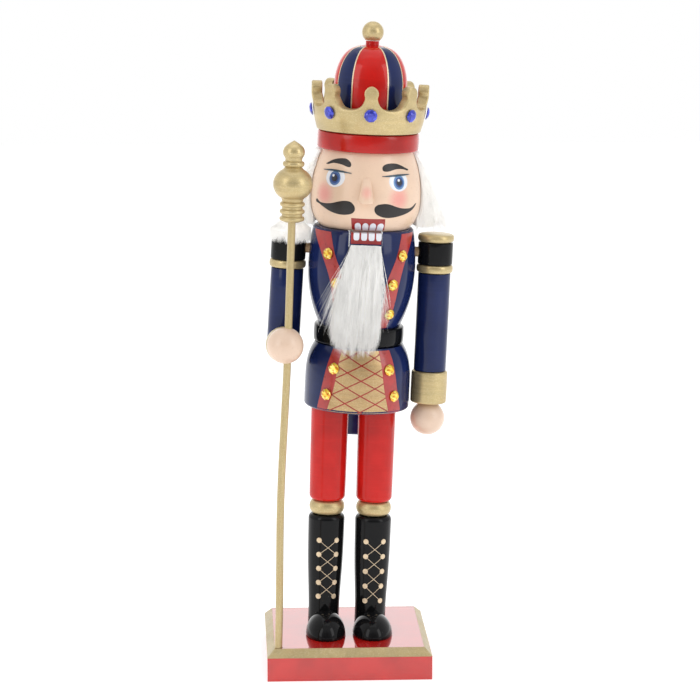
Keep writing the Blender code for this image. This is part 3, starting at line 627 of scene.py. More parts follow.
NAVY_LACQUER = lacquer("navy_lacquer", NAVY)
RED_LACQUER = lacquer("red_lacquer", RED)
DARK_RED_PAINT = dry_paint("dark_red_paint", DEEP_RED)
RED_TRIM = dry_paint("red_trim", (0.400, 0.020, 0.018), coat=0.5)
BLACK_LACQUER = lacquer("black_lacquer", BLACK, 0.07, 0.0, 0.16)
GOLD_PAINT = satin_gold("gold_paint")
PANEL_PAINT = satin_gold("panel_gold", PANEL_GOLD)
LINE_GOLD = satin_gold("line_gold", PALE_GOLD)
BROW_PAINT = dry_paint("brow_paint", BROW, 0.4, 0.0)
LID_PAINT = dry_paint("lid_paint", LID)
WHITE_GLOSS = dry_paint("white_gloss", WHITE_PAINT, roughness=0.2, coat=0.4, variation=0.04)
IRIS_PAINT = {"left": dry_paint("iris_left", IRIS), "right": dry_paint("iris_right", LIGHT_IRIS)}
INNER_PAINT = dry_paint("inner_iris", INNER_IRIS)
PUPIL_PAINT = dry_paint("pupil", PUPIL, coat=0.6)
HAND_PAINT = flesh("hand_skin", HAND_SKIN)
# The stones' bright and deep tones are painted glints and painted shade.
AMBER_GLASS = cut_glass("amber_glass", ((0.72, 0.26, 0.006), (1.0, 0.62, 0.012), (1.0, 0.88, 0.20)), 800)
BLUE_GLASS = cut_glass("blue_glass", ((0.014, 0.020, 0.32), (0.026, 0.038, 0.52), (0.06, 0.085, 0.74)), 500)
# Each fur material glows by the strength given, as painted light: most on the side hair, less at the back,
# least in the beard.
BEARD_STRANDS = hairs("beard_strands", 0.10)
HAIR_STRANDS = hairs("hair_strands", 0.25)
BACK_STRANDS = hairs("back_strands", 0.13)
BARE_WOOD = wood("bare_wood")
STEEL = steel("bright_steel")


# Head

head_profile = smoothed(outline("head", FIGURE))
HEAD = Round(head_profile, FIGURE)
CHEEKS = ((-51.5, 265.2), (33.8, 264.4))
blushes = [(HEAD.point(degrees, height * MM, 0), 9.5 * MM, 0.62) for degrees, height in CHEEKS]
turned("head", FIGURE, flesh("head_skin", SKIN, blushes), profile=head_profile)

BROWS = {
    "left": ((-56.4, 282.2), (-51.2, 284.1), (-44.2, 285.6), (-34.5, 286.5), (-27.7, 286.3), (-22.6, 284.6),
             (-21.3, 283.2), (-22.3, 282.0), (-25.9, 282.0), (-31.3, 282.8), (-38.2, 283.3), (-45.6, 283.3)),
    "right": ((14.3, 282.0), (15.4, 283.3), (19.3, 284.4), (25.8, 284.8), (32.6, 284.6), (39.6, 283.5),
              (45.4, 282.1), (50.0, 280.7), (43.3, 281.2), (37.2, 281.6), (30.2, 281.4), (23.5, 280.5),
              (18.6, 280.2), (15.1, 280.7)),
}
MOUSTACHES = {
    "left": ((-66.0, 261.0), (-57.7, 260.0), (-47.9, 259.9), (-39.7, 260.6), (-32.4, 261.8), (-25.6, 262.6),
             (-19.0, 262.3), (-15.2, 260.6), (-13.7, 258.6), (-14.4, 256.8), (-17.6, 255.3), (-23.1, 254.5),
             (-30.1, 254.3), (-37.4, 254.8), (-45.2, 256.0), (-52.5, 257.6), (-58.6, 258.9)),
    "right": ((6.4, 259.1), (9.0, 260.9), (13.2, 261.6), (18.6, 261.8), (24.3, 261.2), (30.5, 260.0),
              (37.1, 259.1), (44.4, 258.7), (52.8, 258.9), (62.7, 261.1), (59.0, 258.9), (53.5, 257.1),
              (44.1, 255.4), (34.6, 254.2), (24.8, 253.5), (16.6, 253.8), (10.8, 255.0), (7.4, 256.6)),
}
LIDS = {
    "left": ((-57.7, 279.0), (-47.6, 279.3), (-38.9, 279.3), (-29.8, 279.0), (-23.7, 278.7), (-20.0, 278.5)),
    "right": ((13.8, 277.5), (20.7, 277.6), (28.1, 277.9), (36.1, 278.1), (43.7, 278.2), (49.7, 278.3)),
}
EYES = {"left": (-39.0, 275.0, 279.2), "right": (33.9, 274.0, 278.0)}   # centre, height, lid
HIGHLIGHTS = {"left": (-40.8, 276.4), "right": (33.1, 275.2)}


def build_eye(side):
    """Painted in layers: the white, the iris, its darker middle, the pupil, a glint and the lid's line."""
    across, height, lid = EYES[side]
    layers = (
        ("eye_white", 6.7, 0.5, 0.84, WHITE_GLOSS, "skin_lacquer"),
        ("iris", 3.95, 0.0, 1.05, IRIS_PAINT[side], "blue_stone"),
        ("inner_iris", 2.95, 0.0, 1.0, INNER_PAINT, "blue_stone"),
        ("pupil", 2.0, 0.0, 1.0, PUPIL_PAINT, "black_lacquer"),
    )
    for coat, (name, radius, shift, squash, material, slot) in enumerate(layers, 1):
        shape = disc(HEAD, across, height + shift, radius, lid, squash)
        paint(f"{name}_{side}", HEAD, [patch(HEAD, shape, coat)], material)
    glint = disc(HEAD, *HIGHLIGHTS[side], 0.85)
    paint(f"glint_{side}", HEAD, [patch(HEAD, glint, 5)], WHITE_GLOSS)
    line = smoothed(LIDS[side])
    paint(f"lid_{side}", HEAD, [stroke(HEAD, line, (0.4, 1.2, 1.5, 1.2, 0.5), 5)], LID_PAINT)


def build_face():
    for side in SIDES:
        brow = smoothed(BROWS[side], 3, closed=True)
        moustache = smoothed(MOUSTACHES[side], 3, closed=True)
        paint(f"brow_{side}", HEAD, [patch(HEAD, brow, 1.5)], BROW_PAINT)
        paint(f"moustache_{side}", HEAD, [patch(HEAD, moustache, 1.5)], BROW_PAINT)
        build_eye(side)


def tooth(left, right, base, tip):
    """A tooth's outline: straight sides from its base, and a round tip."""
    middle = (left + right) / 2
    half = (right - left) / 2
    shoulder = base + (tip - base) * 0.55
    points = [(left, base), (right, base)] if tip > base else [(right, base), (left, base)]
    turn = 1 if tip > base else -1
    for i in range(9):
        angle = math.pi * i / 8
        points.append((middle + turn * half * math.cos(angle), shoulder + (tip - shoulder) * math.sin(angle)))
    return points


UPPER_TEETH = ((-14.4, -6.9), (-5.6, 1.7), (2.8, 10.4), (11.6, 19.6))
LOWER_TEETH = ((-7.9, -4.4), (-3.5, 0.1), (0.8, 4.5), (5.2, 8.5))


def build_mouth():
    edges = ((-18.5, 22.0, 245.6), (-18.2, 20.6, 249.5), (-17.8, 19.4, 252.9))
    paint("mouth", HEAD, [strip(HEAD, edges, 1)], DARK_RED_PAINT)
    teeth = [patch(HEAD, tooth(left, right, 245.5, 250.2), 3) for left, right in UPPER_TEETH]
    paint("upper_teeth", HEAD, teeth, WHITE_GLOSS)


def build_nose():
    """A glued wedge: a narrow ridge between the eyes that widens and stands out towards its tip."""
    low, high = extent("nose", FIGURE)
    centre = (low[0] + high[0]) / 2
    levels = 15
    around = 16
    points = []
    for i in range(levels):
        share = i / (levels - 1)
        height = high[2] + (low[2] - high[2]) * share
        swell = math.sin(min(1.0, share * 1.12) * math.pi / 2) ** 1.3
        reach = -HEAD.radius(height) - 0.2 * MM + (low[1] + HEAD.radius(height)) * swell
        closing = max(0.0, 1 - abs(share - 0.5) * 2) ** 0.16
        half = (2.7 + 2.4 * share ** 1.6) * MM * (0.75 + 0.25 * closing)
        back = -HEAD.radius(height) * math.cos(half / HEAD.radius(height)) + 1.4 * MM
        for k in range(around):
            angle = math.pi * k / (around - 1)
            across = math.cos(angle)
            flat = math.copysign(abs(across) ** 0.8, across)
            forward = math.sin(angle) ** 0.7
            points.append((centre - half * flat, back + (reach - back) * forward, height))
    tip = Vector((centre, low[1], low[2] + (high[2] - low[2]) * 0.50))
    skin = flesh("nose_skin", SKIN, [(tip, 6.0 * MM, 0.45)])
    nose = make_piece("nose_wedge", [(points, lofted(levels, around))], FIGURE, skin,
                      sharp=60)
    soften = nose.modifiers.new("Soften", "BEVEL")
    soften.width = 0.5 * MM
    soften.segments = 3
    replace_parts(nose, "nose")


build_face()
build_mouth()
build_nose()


# Hat and crown

band_lacquer = lacquer("band_lacquer", shade(RED, 0.80), 0.16, 0.2, 0.3, (30, 30, 500), 0.16)
turned("hat_band", FIGURE, band_lacquer)
dome_profile = smoothed(outline("hat_dome", FIGURE))
DOME = Round(dome_profile, FIGURE)
turned("hat_dome", FIGURE, RED_LACQUER, profile=dome_profile)
turned("finial_ball", FIGURE, GOLD_PAINT)

GORES = 4
GORE_CENTRE = -3.9
RED_GORE_HALF = 29.0
DOME_LEVELS = [height for height in DOME.heights / MM if 302 < height < 350.2]


def build_dome_paint():
    navy = []
    lines = []
    for number in range(GORES):
        start = GORE_CENTRE + number * 90 + RED_GORE_HALF
        end = GORE_CENTRE + (number + 1) * 90 - RED_GORE_HALF
        edges = [(start, end, height) for height in DOME_LEVELS]
        navy.append(strip(DOME, edges, 1, step=0.8 * MM))
        for seam in (start, end):
            half = [0.45 * MM / DOME.unit(height * MM) for height in DOME_LEVELS]
            edges = [(seam - h, seam + h, height) for h, height in zip(half, DOME_LEVELS)]
            lines.append(strip(DOME, edges, 2.5, columns=4, step=0.8 * MM))
    paint("dome_navy_gores", DOME, navy, NAVY_LACQUER)
    paint("dome_gold_lines", DOME, lines, LINE_GOLD)


CROWN_POINTS = 8
CROWN_TURN = -1.8
CROWN_WALL = 6.2 * MM
CROWN_GIRTH = 33.6               # outer radius at its points, mm
CROWN_FLARE_TOP = 323 * MM
ABOVE_CROWN = 330 * MM
RIM_STEPS = 200
SCALLOP = (9.7, 324.7)           # radius and height of the curve between two points, mm
LOBE = (4.2, 324.8)
SCALLOP_SQUARENESS = 0.80
CROWN_ROUND = 0.8 * MM           # radius of its rounded edges


def crown_edge():
    """The crown's upper edge over one point, as mm from the point's middle and height, left to right."""
    sector = math.pi * 2 * CROWN_GIRTH / CROWN_POINTS
    scallop_radius, scallop_height = SCALLOP
    lobe_radius, lobe_height = LOBE
    points = []
    for i in range(9):
        angle = math.radians(90 - 76 * i / 8)
        across = math.cos(angle) ** SCALLOP_SQUARENESS
        down = math.sin(angle) ** SCALLOP_SQUARENESS
        points.append((-sector / 2 + scallop_radius * across, scallop_height - scallop_radius * down))
    for i in range(13):
        angle = math.radians(208 - 236 * i / 12)
        points.append((lobe_radius * math.cos(angle), lobe_height + lobe_radius * math.sin(angle)))
    points += [(-across, height) for across, height in reversed(points[:9])]
    return points, sector


def rounded_half(outline_points):
    """Half of the crown's wall, unrolled: a sheet whose rim curves up to the wall's face."""
    sheet = bmesh.new()
    face = sheet.faces.new([sheet.verts.new((x, y, 0)) for x, y in outline_points])
    half = CROWN_WALL / 2
    swept = bmesh.ops.extrude_face_region(sheet, geom=[face])["geom"]
    bmesh.ops.delete(sheet, geom=[face], context="FACES_ONLY")
    front = next(item for item in swept if isinstance(item, bmesh.types.BMFace))
    for vertex in front.verts:
        vertex.co.z = half - CROWN_ROUND
    previous = 0.0
    for turn in (30, 60, 90):
        angle = math.radians(turn)
        inset = CROWN_ROUND * (1 - math.cos(angle))
        bmesh.ops.inset_region(sheet, faces=[front], thickness=inset - previous, use_even_offset=True)
        previous = inset
        for vertex in front.verts:
            vertex.co.z = half - CROWN_ROUND + CROWN_ROUND * math.sin(angle)
    bmesh.ops.triangulate(sheet, faces=[front])
    return sheet


def build_crown():
    """The flared ring, made unrolled with spare length, cut to one turn and closed on itself."""
    profile = outline("crown", FIGURE)
    wide = max(radius for radius, height in profile)
    rim = [(radius, height) for radius, height in profile if height < CROWN_FLARE_TOP]
    flare = rim[:1]
    for radius, height in rim[1:]:
        if radius > flare[-1][0] - 0.02 * MM and height > flare[-1][1] + 1.5 * MM:
            flare.append((radius, height))
    surface = Round(smoothed(flare + [(wide, ABOVE_CROWN)]), FIGURE)
    edge, sector = crown_edge()
    length = CROWN_POINTS * sector * MM
    bottom = profile[0][1]
    upper = []
    for number in range(-1, CROWN_POINTS + 1):
        for across, height in edge[:-1]:
            upper.append((((number + 0.5) * sector + across) * MM, height * MM))
    left = upper[0][0]
    right = upper[-1][0]
    lower = [(right + (left - right) * i / RIM_STEPS, bottom) for i in range(RIM_STEPS + 1)]
    columns = [line for line in range(-20, 240) if left < line * PAINT_GRID < right]
    levels = range(math.ceil(bottom / PAINT_GRID), round(ABOVE_CROWN / PAINT_GRID))
    points = []
    faces = []
    for facing in (1, -1):
        sheet = rounded_half(upper + lower)
        cut_by_grid(sheet, 0, columns)
        cut_by_grid(sheet, 1, levels)
        for end, normal in ((0, -1), (length, 1)):
            bmesh.ops.bisect_plane(sheet, geom=everything(sheet), plane_co=(end, 0, 0),
                                   plane_no=(normal, 0, 0), clear_outer=True)
        sheet.verts.index_update()
        start = len(points)
        for vertex in sheet.verts:
            degrees = CROWN_TURN - 360 / CROWN_POINTS / 2 + vertex.co.x / length * 360
            depth = facing * vertex.co.z - CROWN_WALL / 2
            points.append(surface.point(degrees, vertex.co.y, depth))
        for face in sheet.faces:
            faces.append([start + vertex.index for vertex in face.verts])
        sheet.free()
    crown = make_piece("crown_ring", [(points, faces)], FIGURE, satin_gold("crown_gold", GOLD, (50, 50, 260)),
                       sharp=50)
    turn_outwards(crown, merge=0.004 * MM)
    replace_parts(crown, "crown")


def stone(name, node, table, sides, material):
    """A cut stone in place of a CAD one: girdle, two rows of kite facets and a flat table."""
    points, middle, spread, directions = own_axes(node)
    centre = Vector(middle)
    outward = Vector(directions[:, 0])
    if outward.dot(Vector((centre.x, centre.y, 0))) < 0:
        outward.negate()
    heights = (points - middle) @ np.array(outward)
    offsets = points - middle - np.outer(heights, np.array(outward))
    radius = np.linalg.norm(offsets, axis=1).max()
    origin = centre + outward * heights.min()
    matrix = frame_along(outward, outward.orthogonal().normalized(), origin)
    height = heights.max() - heights.min()
    rings = ((0.90, 0.0, 0.0), (1.0, 0.28, 0.0), (0.80, 0.66, 0.5), (table, 0.97, 0.0))
    shape = []
    for share, level, turn in rings:
        for k in range(sides):
            angle = 2 * math.pi * (k + turn) / sides
            shape.append((radius * share * math.cos(angle), radius * share * math.sin(angle), height * level))
    faces = [tuple(reversed(range(sides)))]
    for k in range(sides):
        n = (k + 1) % sides
        faces.append((k, n, sides + n, sides + k))
        faces.append((sides + k, sides + n, 2 * sides + k))
        faces.append((sides + n, 2 * sides + n, 2 * sides + k))
        faces.append((2 * sides + k, 2 * sides + n, 3 * sides + n))
        faces.append((2 * sides + k, 3 * sides + n, 3 * sides + k))
    faces.append(tuple(3 * sides + k for k in range(sides)))
    piece = make_piece(name, [(shape, faces)], matrix, material, sharp=5)
    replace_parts(piece, node)


build_dome_paint()
build_crown()
for number in range(1, CROWN_POINTS + 1):
    stone(f"blue_gem_{number}", f"crown_gem_{number}", 0.50, 10, BLUE_GLASS)


# Coat

belt_profile = smoothed(outline("belt", CHEST, 10 * MM))
turned("belt", CHEST, BLACK_LACQUER, profile=belt_profile)
skirt_profile = smoothed(outline("skirt_block", FIGURE, 12 * MM))
SKIRT = Round(skirt_profile, FIGURE)
turned("skirt_block", FIGURE, NAVY_LACQUER, profile=skirt_profile)
chest_profile = smoothed(outline("chest_block", CHEST, 20 * MM))
TORSO = Round(chest_profile, CHEST)

PANEL_EDGES = (                  # left, right, height
    (-37.0, 34.6, 137.9), (-36.2, 33.8, 139.1), (-28.8, 27.1, 154.0), (-25.1, 23.1, 170.5),
    (-24.6, 22.6, 174.6),
)
SKIRT_LAPELS = (
    ((-51.0, -36.6, 137.9), (-44.4, -28.6, 152.9), (-38.1, -24.9, 169.9), (-37.2, -24.3, 174.6)),
    ((34.4, 53.0, 137.9), (26.9, 45.0, 153.0), (22.9, 39.6, 170.2), (22.4, 38.6, 174.6)),
)
CHEST_LAPELS = (
    ((-33.5, -17.0, 187.4), (-35.5, -19.0, 198.0), (-38.0, -21.3, 215.0), (-52.9, -33.4, 231.0),
     (-73.5, -41.8, 243.4)),
    ((21.5, 37.0, 187.4), (23.0, 39.1, 198.0), (24.7, 42.1, 214.5), (36.0, 51.8, 229.5),
     (45.6, 72.5, 243.4)),
)
LATTICE_LEVELS = (175.0, 166.3, 157.4, 148.4, 138.8)
LATTICE_SLOPE = 0.29


def lattice_lines():
    """The crossed lines on the gold panel, each kept inside the panel's edges."""
    heights = [edge[2] for edge in PANEL_EDGES]
    lines = []
    for level in LATTICE_LEVELS:
        for slope in (-LATTICE_SLOPE, LATTICE_SLOPE):
            path = []
            for step in range(-76, 77):
                degrees = step / 2
                height = level + slope * (degrees - 0.8)
                left = np.interp(height, heights, [edge[0] for edge in PANEL_EDGES])
                right = np.interp(height, heights, [edge[1] for edge in PANEL_EDGES])
                if left < degrees < right and heights[0] + 0.2 < height < heights[-1] - 0.2:
                    path.append((degrees, height))
            if len(path) > 4:
                lines.append(stroke(SKIRT, path, (0.95, 0.95), 2.5))
    return lines


def build_chest():
    """The turned chest, with the lever's slot sawn through it."""
    chest = turned("chest_block", CHEST, NAVY_LACQUER, profile=chest_profile)
    lever = vertices("jaw_lever", CHEST)
    half = lever[:, 0].max() + 0.5 * MM
    walls = vertices("chest_block", CHEST)
    inner = walls[(abs(walls[:, 0]) < half + 0.1 * MM) & (abs(walls[:, 1]) > 20 * MM)]
    floor = inner[inner[:, 2] > 200 * MM][:, 2].min()
    saw = bmesh.new()
    low = Vector((-half, -50 * MM, floor))
    high = Vector((half, 50 * MM, 260 * MM))
    size = Matrix.Diagonal((*(high - low), 1))
    bmesh.ops.create_cube(saw, size=1, matrix=Matrix.Translation((low + high) / 2) @ size)
    mesh = bpy.data.meshes.new("saw")
    saw.to_mesh(mesh)
    saw.free()
    # The slot's walls take the cutter's dark, matt navy: painted shade in the recess, which also hides its
    # reflections.
    mesh.materials.append(dry_paint("slot_painted_shade", shade(NAVY, 0.6), 0.8, 0.0))
    cutter = add_object("saw", mesh)
    cutter.matrix_world = CHEST
    boolean = chest.modifiers.new("Slot", "BOOLEAN")
    boolean.operation = "DIFFERENCE"
    boolean.solver = "EXACT"
    boolean.object = cutter
    bpy.context.view_layer.update()
    graph = bpy.context.evaluated_depsgraph_get()
    result = bpy.data.meshes.new_from_object(chest.evaluated_get(graph))
    chest.modifiers.clear()
    chest.data = result
    result.set_sharp_from_angle(angle=math.radians(40))
    bpy.data.objects.remove(cutter)


def build_coat_paint():
    paint("skirt_panel", SKIRT, [strip(SKIRT, PANEL_EDGES, 1, columns=24)], PANEL_PAINT)
    paint("skirt_lattice", SKIRT, lattice_lines(), DARK_RED_PAINT)
    lapels = [strip(SKIRT, edges, 1.4) for edges in SKIRT_LAPELS]
    paint("skirt_lapels", SKIRT, lapels, RED_TRIM)
    lapels = [strip(TORSO, edges, 1.4) for edges in CHEST_LAPELS]
    paint("chest_lapels", TORSO, lapels, RED_TRIM)


build_chest()
build_coat_paint()
for side in SIDES:
    for part, rows in (("chest", 3), ("skirt", 2)):
        for row in range(1, rows + 1):
            stone(f"{part}_stone_{side}_{row}", f"{part}_button_{side}_{row}", 0.56, 8, AMBER_GLASS)


# Jaw

def round_edges(node, width):
    bevel = frame["nodes"][node].modifiers.new("Eased edges", "BEVEL")
    bevel.width = width
    bevel.segments = 3
    bevel.limit_method = "ANGLE"
    bevel.angle_limit = math.radians(30)


def dress(node, material):
    """A better material for a CAD node that stays."""
    for slot in frame["nodes"][node].material_slots:
        slot.material = material


def build_jaw_paint():
    lever = vertices("jaw_lever", CHEST)
    depth = lever[:, 1].min()
    top = lever[lever[:, 1] < depth + 1 * MM][:, 2].max()
    jaw = Board(depth, top, CHEST)
    back = top / MM + 11.0
    edges = ((-8.9, 8.9, 238.3), (-8.9, 8.9, 241.0), (-8.9, 8.9, back))
    front = strip(jaw, edges, 1, columns=4, step=0.4 * MM)
    paint("jaw_paint", jaw, [front], DARK_RED_PAINT, "jaw")
    shift = CHEST_X / MM
    teeth = []
    for left, right in LOWER_TEETH:
        middle = (left + right) / 2 - shift
        half = (right - left) / 2
        rows = [(middle - half * w, middle + half * w, z) for w, z in (
            (0.45, 240.3), (0.82, 240.8), (0.97, 241.5), (1.0, 242.5), (1.0, top / MM + 4.4))]
        teeth.append(strip(jaw, rows, 3, columns=8, step=0.3 * MM))
    paint("lower_teeth", jaw, teeth, WHITE_GLOSS, "jaw")


round_edges("jaw_lever", 0.3 * MM)
dress("jaw_lever", NAVY_LACQUER)
build_jaw_paint()


# Legs

BOOT_LEAST = 9.0 * MM
BOOT_BRIM = ((0, 3.0), (0.15, 1.9), (0.6, 0.9), (1.3, 0.25), (2.4, 0))
LACE_TOP = 56.0
LACE_STEPS = {"left": 8.7, "right": 9.2}
LACE_SIDES = (-24.0, 34.0)
SHOE_HALF_LENGTH = 17.2 * MM


def build_boot(side, leg):
    """The shaft, with a rounded brim and painted laces."""
    shaft = outline("boot_" + side, leg, BOOT_LEAST)
    heights = vertices("boot_" + side, leg)[:, 2]
    sole = heights[heights < heights.min() + 1.5 * MM].mean()
    brim = max(radius for radius, height in shaft[-3:])
    top = shaft[-1][1]
    shaft = [point for point in shaft if point[1] < top - 4 * MM]
    shaft += [(brim - inward * MM, top - below * MM) for inward, below in BOOT_BRIM]
    profile = smoothed([(shaft[0][0], sole)] + shaft)
    boot = Round(profile, leg)
    turned("boot_" + side, leg, BLACK_LACQUER, profile=profile)
    rows = [LACE_TOP - LACE_STEPS[side] * i for i in range(5)]
    dots = [patch(boot, disc(boot, degrees, height, 1.65), 3.5) for height in rows for degrees in LACE_SIDES]
    paint("lace_dots_" + side, boot, dots, LINE_GOLD)
    laces = []
    for upper, lower in zip(rows, rows[1:]):
        for start, end in (LACE_SIDES, LACE_SIDES[::-1]):
            path = [(start + (end - start) * i / 12, upper + (lower - upper) * i / 12) for i in range(13)]
            laces.append(stroke(boot, path, (0.42, 0.42), 2))
    paint("laces_" + side, boot, laces, LINE_GOLD)


def build_shoe(side, leg):
    """A long domed toe with a flat sole and a faint welt."""
    low, high = extent("shoe_" + side, leg)
    sole = extent("boot_" + side, leg)[0][2] + 0.15 * MM
    centre = Vector(((low[0] + high[0]) / 2, 0, sole + 0.9 * MM))
    half_width = (high[0] - low[0]) / 2
    centre.y = low[1] + SHOE_HALF_LENGTH
    tall = high[2] - centre.z
    points = []
    rings = 25
    around = 64
    for i in range(1, rings + 1):
        polar = math.pi * i / (rings + 1)
        for k in range(around):
            angle = 2 * math.pi * k / around
            x = half_width * math.sin(polar) * math.sin(angle)
            y = -SHOE_HALF_LENGTH * math.sin(polar) * math.cos(angle)
            z = tall * math.cos(polar)
            welt = 1.0 + 0.018 * math.exp(-((z + 0.2 * MM) / (0.5 * MM)) ** 2)
            points.append((centre.x + x * welt, centre.y + y * welt, max(sole, centre.z + z)))
    points.append((centre.x, centre.y, centre.z + tall))
    points.append((centre.x, centre.y, sole))
    crest = rings * around
    last = crest - around
    faces = ring_faces(rings, around)
    for k in range(around):
        n = (k + 1) % around
        faces += [(crest, k, n), (last + k, crest + 1, last + n)]
    toe = make_piece(f"shoe_{side}_toe", [(points, faces)], leg, BLACK_LACQUER, sharp=70)
    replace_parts(toe, "shoe_" + side)


for side in SIDES:
    leg = turned_frame("trouser_" + side)
    turned("trouser_" + side, leg, RED_LACQUER, 7 * MM)
    turned("boot_cuff_" + side, leg, GOLD_PAINT, 6 * MM)
    build_boot(side, leg)
    build_shoe(side, leg)


# Arms

ARM_FINISHES = (
    ("shoulder_cap", GOLD_PAINT, "gold_lacquer"), ("epaulette", BLACK_LACQUER, "black_lacquer"),
    ("sleeve_ring", GOLD_PAINT, "gold_lacquer"))
ARMS = {side: turned_frame("shoulder_cap_" + side) for side in SIDES}
for side, arm in ARMS.items():
    for stem, material, slot in ARM_FINISHES:
        turned(f"{stem}_{side}", arm, material, 6 * MM)
turned("sleeve_right", ARMS["right"], NAVY_LACQUER, 6 * MM)
turned("arm_cuff_right", ARMS["right"], GOLD_PAINT, 6 * MM)
turned("hand_right", ARMS["right"], HAND_PAINT)
forearm = turned_frame("arm_cuff_left", (0, -1, 0), grounded=False)
turned("arm_cuff_left", forearm, GOLD_PAINT, 6 * MM)


MITRE_GAP = 0.15 * MM            # half of the gap between the two sleeves
SLEEVE_SPARE = 4 * MM            # extra length that the mitre's cut takes off


def sleeve_solid(low, high, radius):
    """Points and faces of a sleeve: a drum with eased edges."""
    profile = [(radius - 0.4 * MM, low), (radius, low + 0.4 * MM), (radius, high - 0.4 * MM),
               (radius - 0.4 * MM, high)]
    return revolved(smoothed(profile))


def build_bent_sleeve():
    """The upper sleeve and the forearm's, each sawn along the elbow's mitre."""
    arm = ARMS["left"]
    axis_up = arm.to_3x3() @ Vector((0, 0, 1))
    axis_out = forearm.to_3x3() @ Vector((0, 0, 1))
    elbow = intersect_line_line(arm.translation, arm.translation + axis_up,
                                forearm.translation, forearm.translation + axis_out)[0]
    normal = (axis_up - axis_out).normalized()
    for node, matrix, keep in (("sleeve_left", arm, 1), ("forearm_sleeve_left", forearm, -1)):
        points = vertices(node, matrix)
        radius = np.hypot(points[:, 0], points[:, 1]).max()
        low, high = points[:, 2].min() - SLEEVE_SPARE, points[:, 2].max()
        piece = make_piece(node + "_turned", [sleeve_solid(low, high, radius)], matrix,
                           NAVY_LACQUER)
        solid = bmesh.new()
        solid.from_mesh(piece.data)
        spot = matrix.inverted() @ (elbow + normal * MITRE_GAP * keep)
        direction = (matrix.to_3x3().inverted() @ normal) * -keep
        cut = bmesh.ops.bisect_plane(solid, geom=everything(solid), plane_co=spot, plane_no=direction,
                                     clear_outer=True)
        edges = [item for item in cut["geom_cut"] if isinstance(item, bmesh.types.BMEdge)]
        bmesh.ops.contextual_create(solid, geom=edges)
        bmesh.ops.recalc_face_normals(solid, faces=solid.faces)
        solid.to_mesh(piece.data)
        solid.free()
        piece.data.set_sharp_from_angle(angle=math.radians(40))
        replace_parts(piece, node)


def build_gripping_hand():
    """A ball whose flat back meets the cuff."""
    points = vertices("hand_left", forearm)
    radius = np.hypot(points[:, 0], points[:, 1]).max()
    back = points[:, 2].min()
    centre = points[:, 2].max() - radius
    profile = []
    start = math.asin(max(-1.0, (back - centre) / radius))
    for i in range(41):
        angle = start + (math.pi / 2 - 0.02 - start) * i / 40
        profile.append((radius * math.cos(angle), centre + radius * math.sin(angle)))
    turned("hand_left", forearm, HAND_PAINT, profile=profile)


build_bent_sleeve()
build_gripping_hand()


# Sceptre

sceptre = turned_frame("sceptre_head")
head_outline = [point for point in outline("sceptre_head", sceptre) if not 1.5 * MM < point[0] < 2.8 * MM]
turned("sceptre_head", sceptre, satin_gold("sceptre_gold", GOLD, (60, 60, 500)),
       profile=smoothed(head_outline))
dress("sceptre_rod", satin_gold("rod_gold", shade(GOLD, 0.92), (700, 700, 40)))


# Base

BAND_THICKNESS = 0.06 * MM
BAND_DEPTH = 0.6 * MM            # how far the band's hidden back lies inside the block
BAND_SECTION = (                 # share of the bevel's height, share of the band's thickness
    (-0.03, -0.5), (0.02, 0.5), (0.08, 1.0), (0.5, 1.0), (0.92, 1.0), (0.98, 0.5), (1.03, -0.5))


def build_base():
    """The red block with a gold band painted on its bevel."""
    dress("base_plate", lacquer("base_lacquer", RED, 0.05, 1.0, 0.5, (30, 300, 30)))
    round_edges("base_plate", 0.35 * MM)
    low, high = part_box("base_plate")
    points = vertices("base_plate", Matrix.Identity(4))
    half = high.x
    rim = points[points[:, 0] > half - 0.01 * MM]
    shoulder = rim[:, 2].max()
    bevel = high.z - shoulder
    section = []
    for share, rise in BAND_SECTION:
        lift = rise * BAND_THICKNESS
        section.append((half - bevel * share + lift, shoulder + bevel * share + lift))
    section += [(half - bevel - BAND_DEPTH, high.z - BAND_DEPTH), (half - BAND_DEPTH, shoulder - BAND_DEPTH)]
    points = []
    for x, y in ((1, 1), (-1, 1), (-1, -1), (1, -1)):
        points += [(x * reach, y * reach, height) for reach, height in section]
    faces = ring_faces(4, len(section), closed=True)
    # The bevel's gold is a darker copy of the other gold: painted shade that offsets the extra light falling
    # on this upward face.
    gold = satin_gold("base_gold", shade(GOLD, 0.82), (90, 90, 90), 0.42, 0.4)
    band = make_piece("base_gold_band", [(points, faces)], Matrix.Identity(4), gold)
    turn_outwards(band)


build_base()
for side in SIDES:
    dress("shoulder_peg_" + side, BARE_WOOD)
    dress("base_screw_" + side, STEEL)
dress("pivot_pin", STEEL)


# Hair and beard

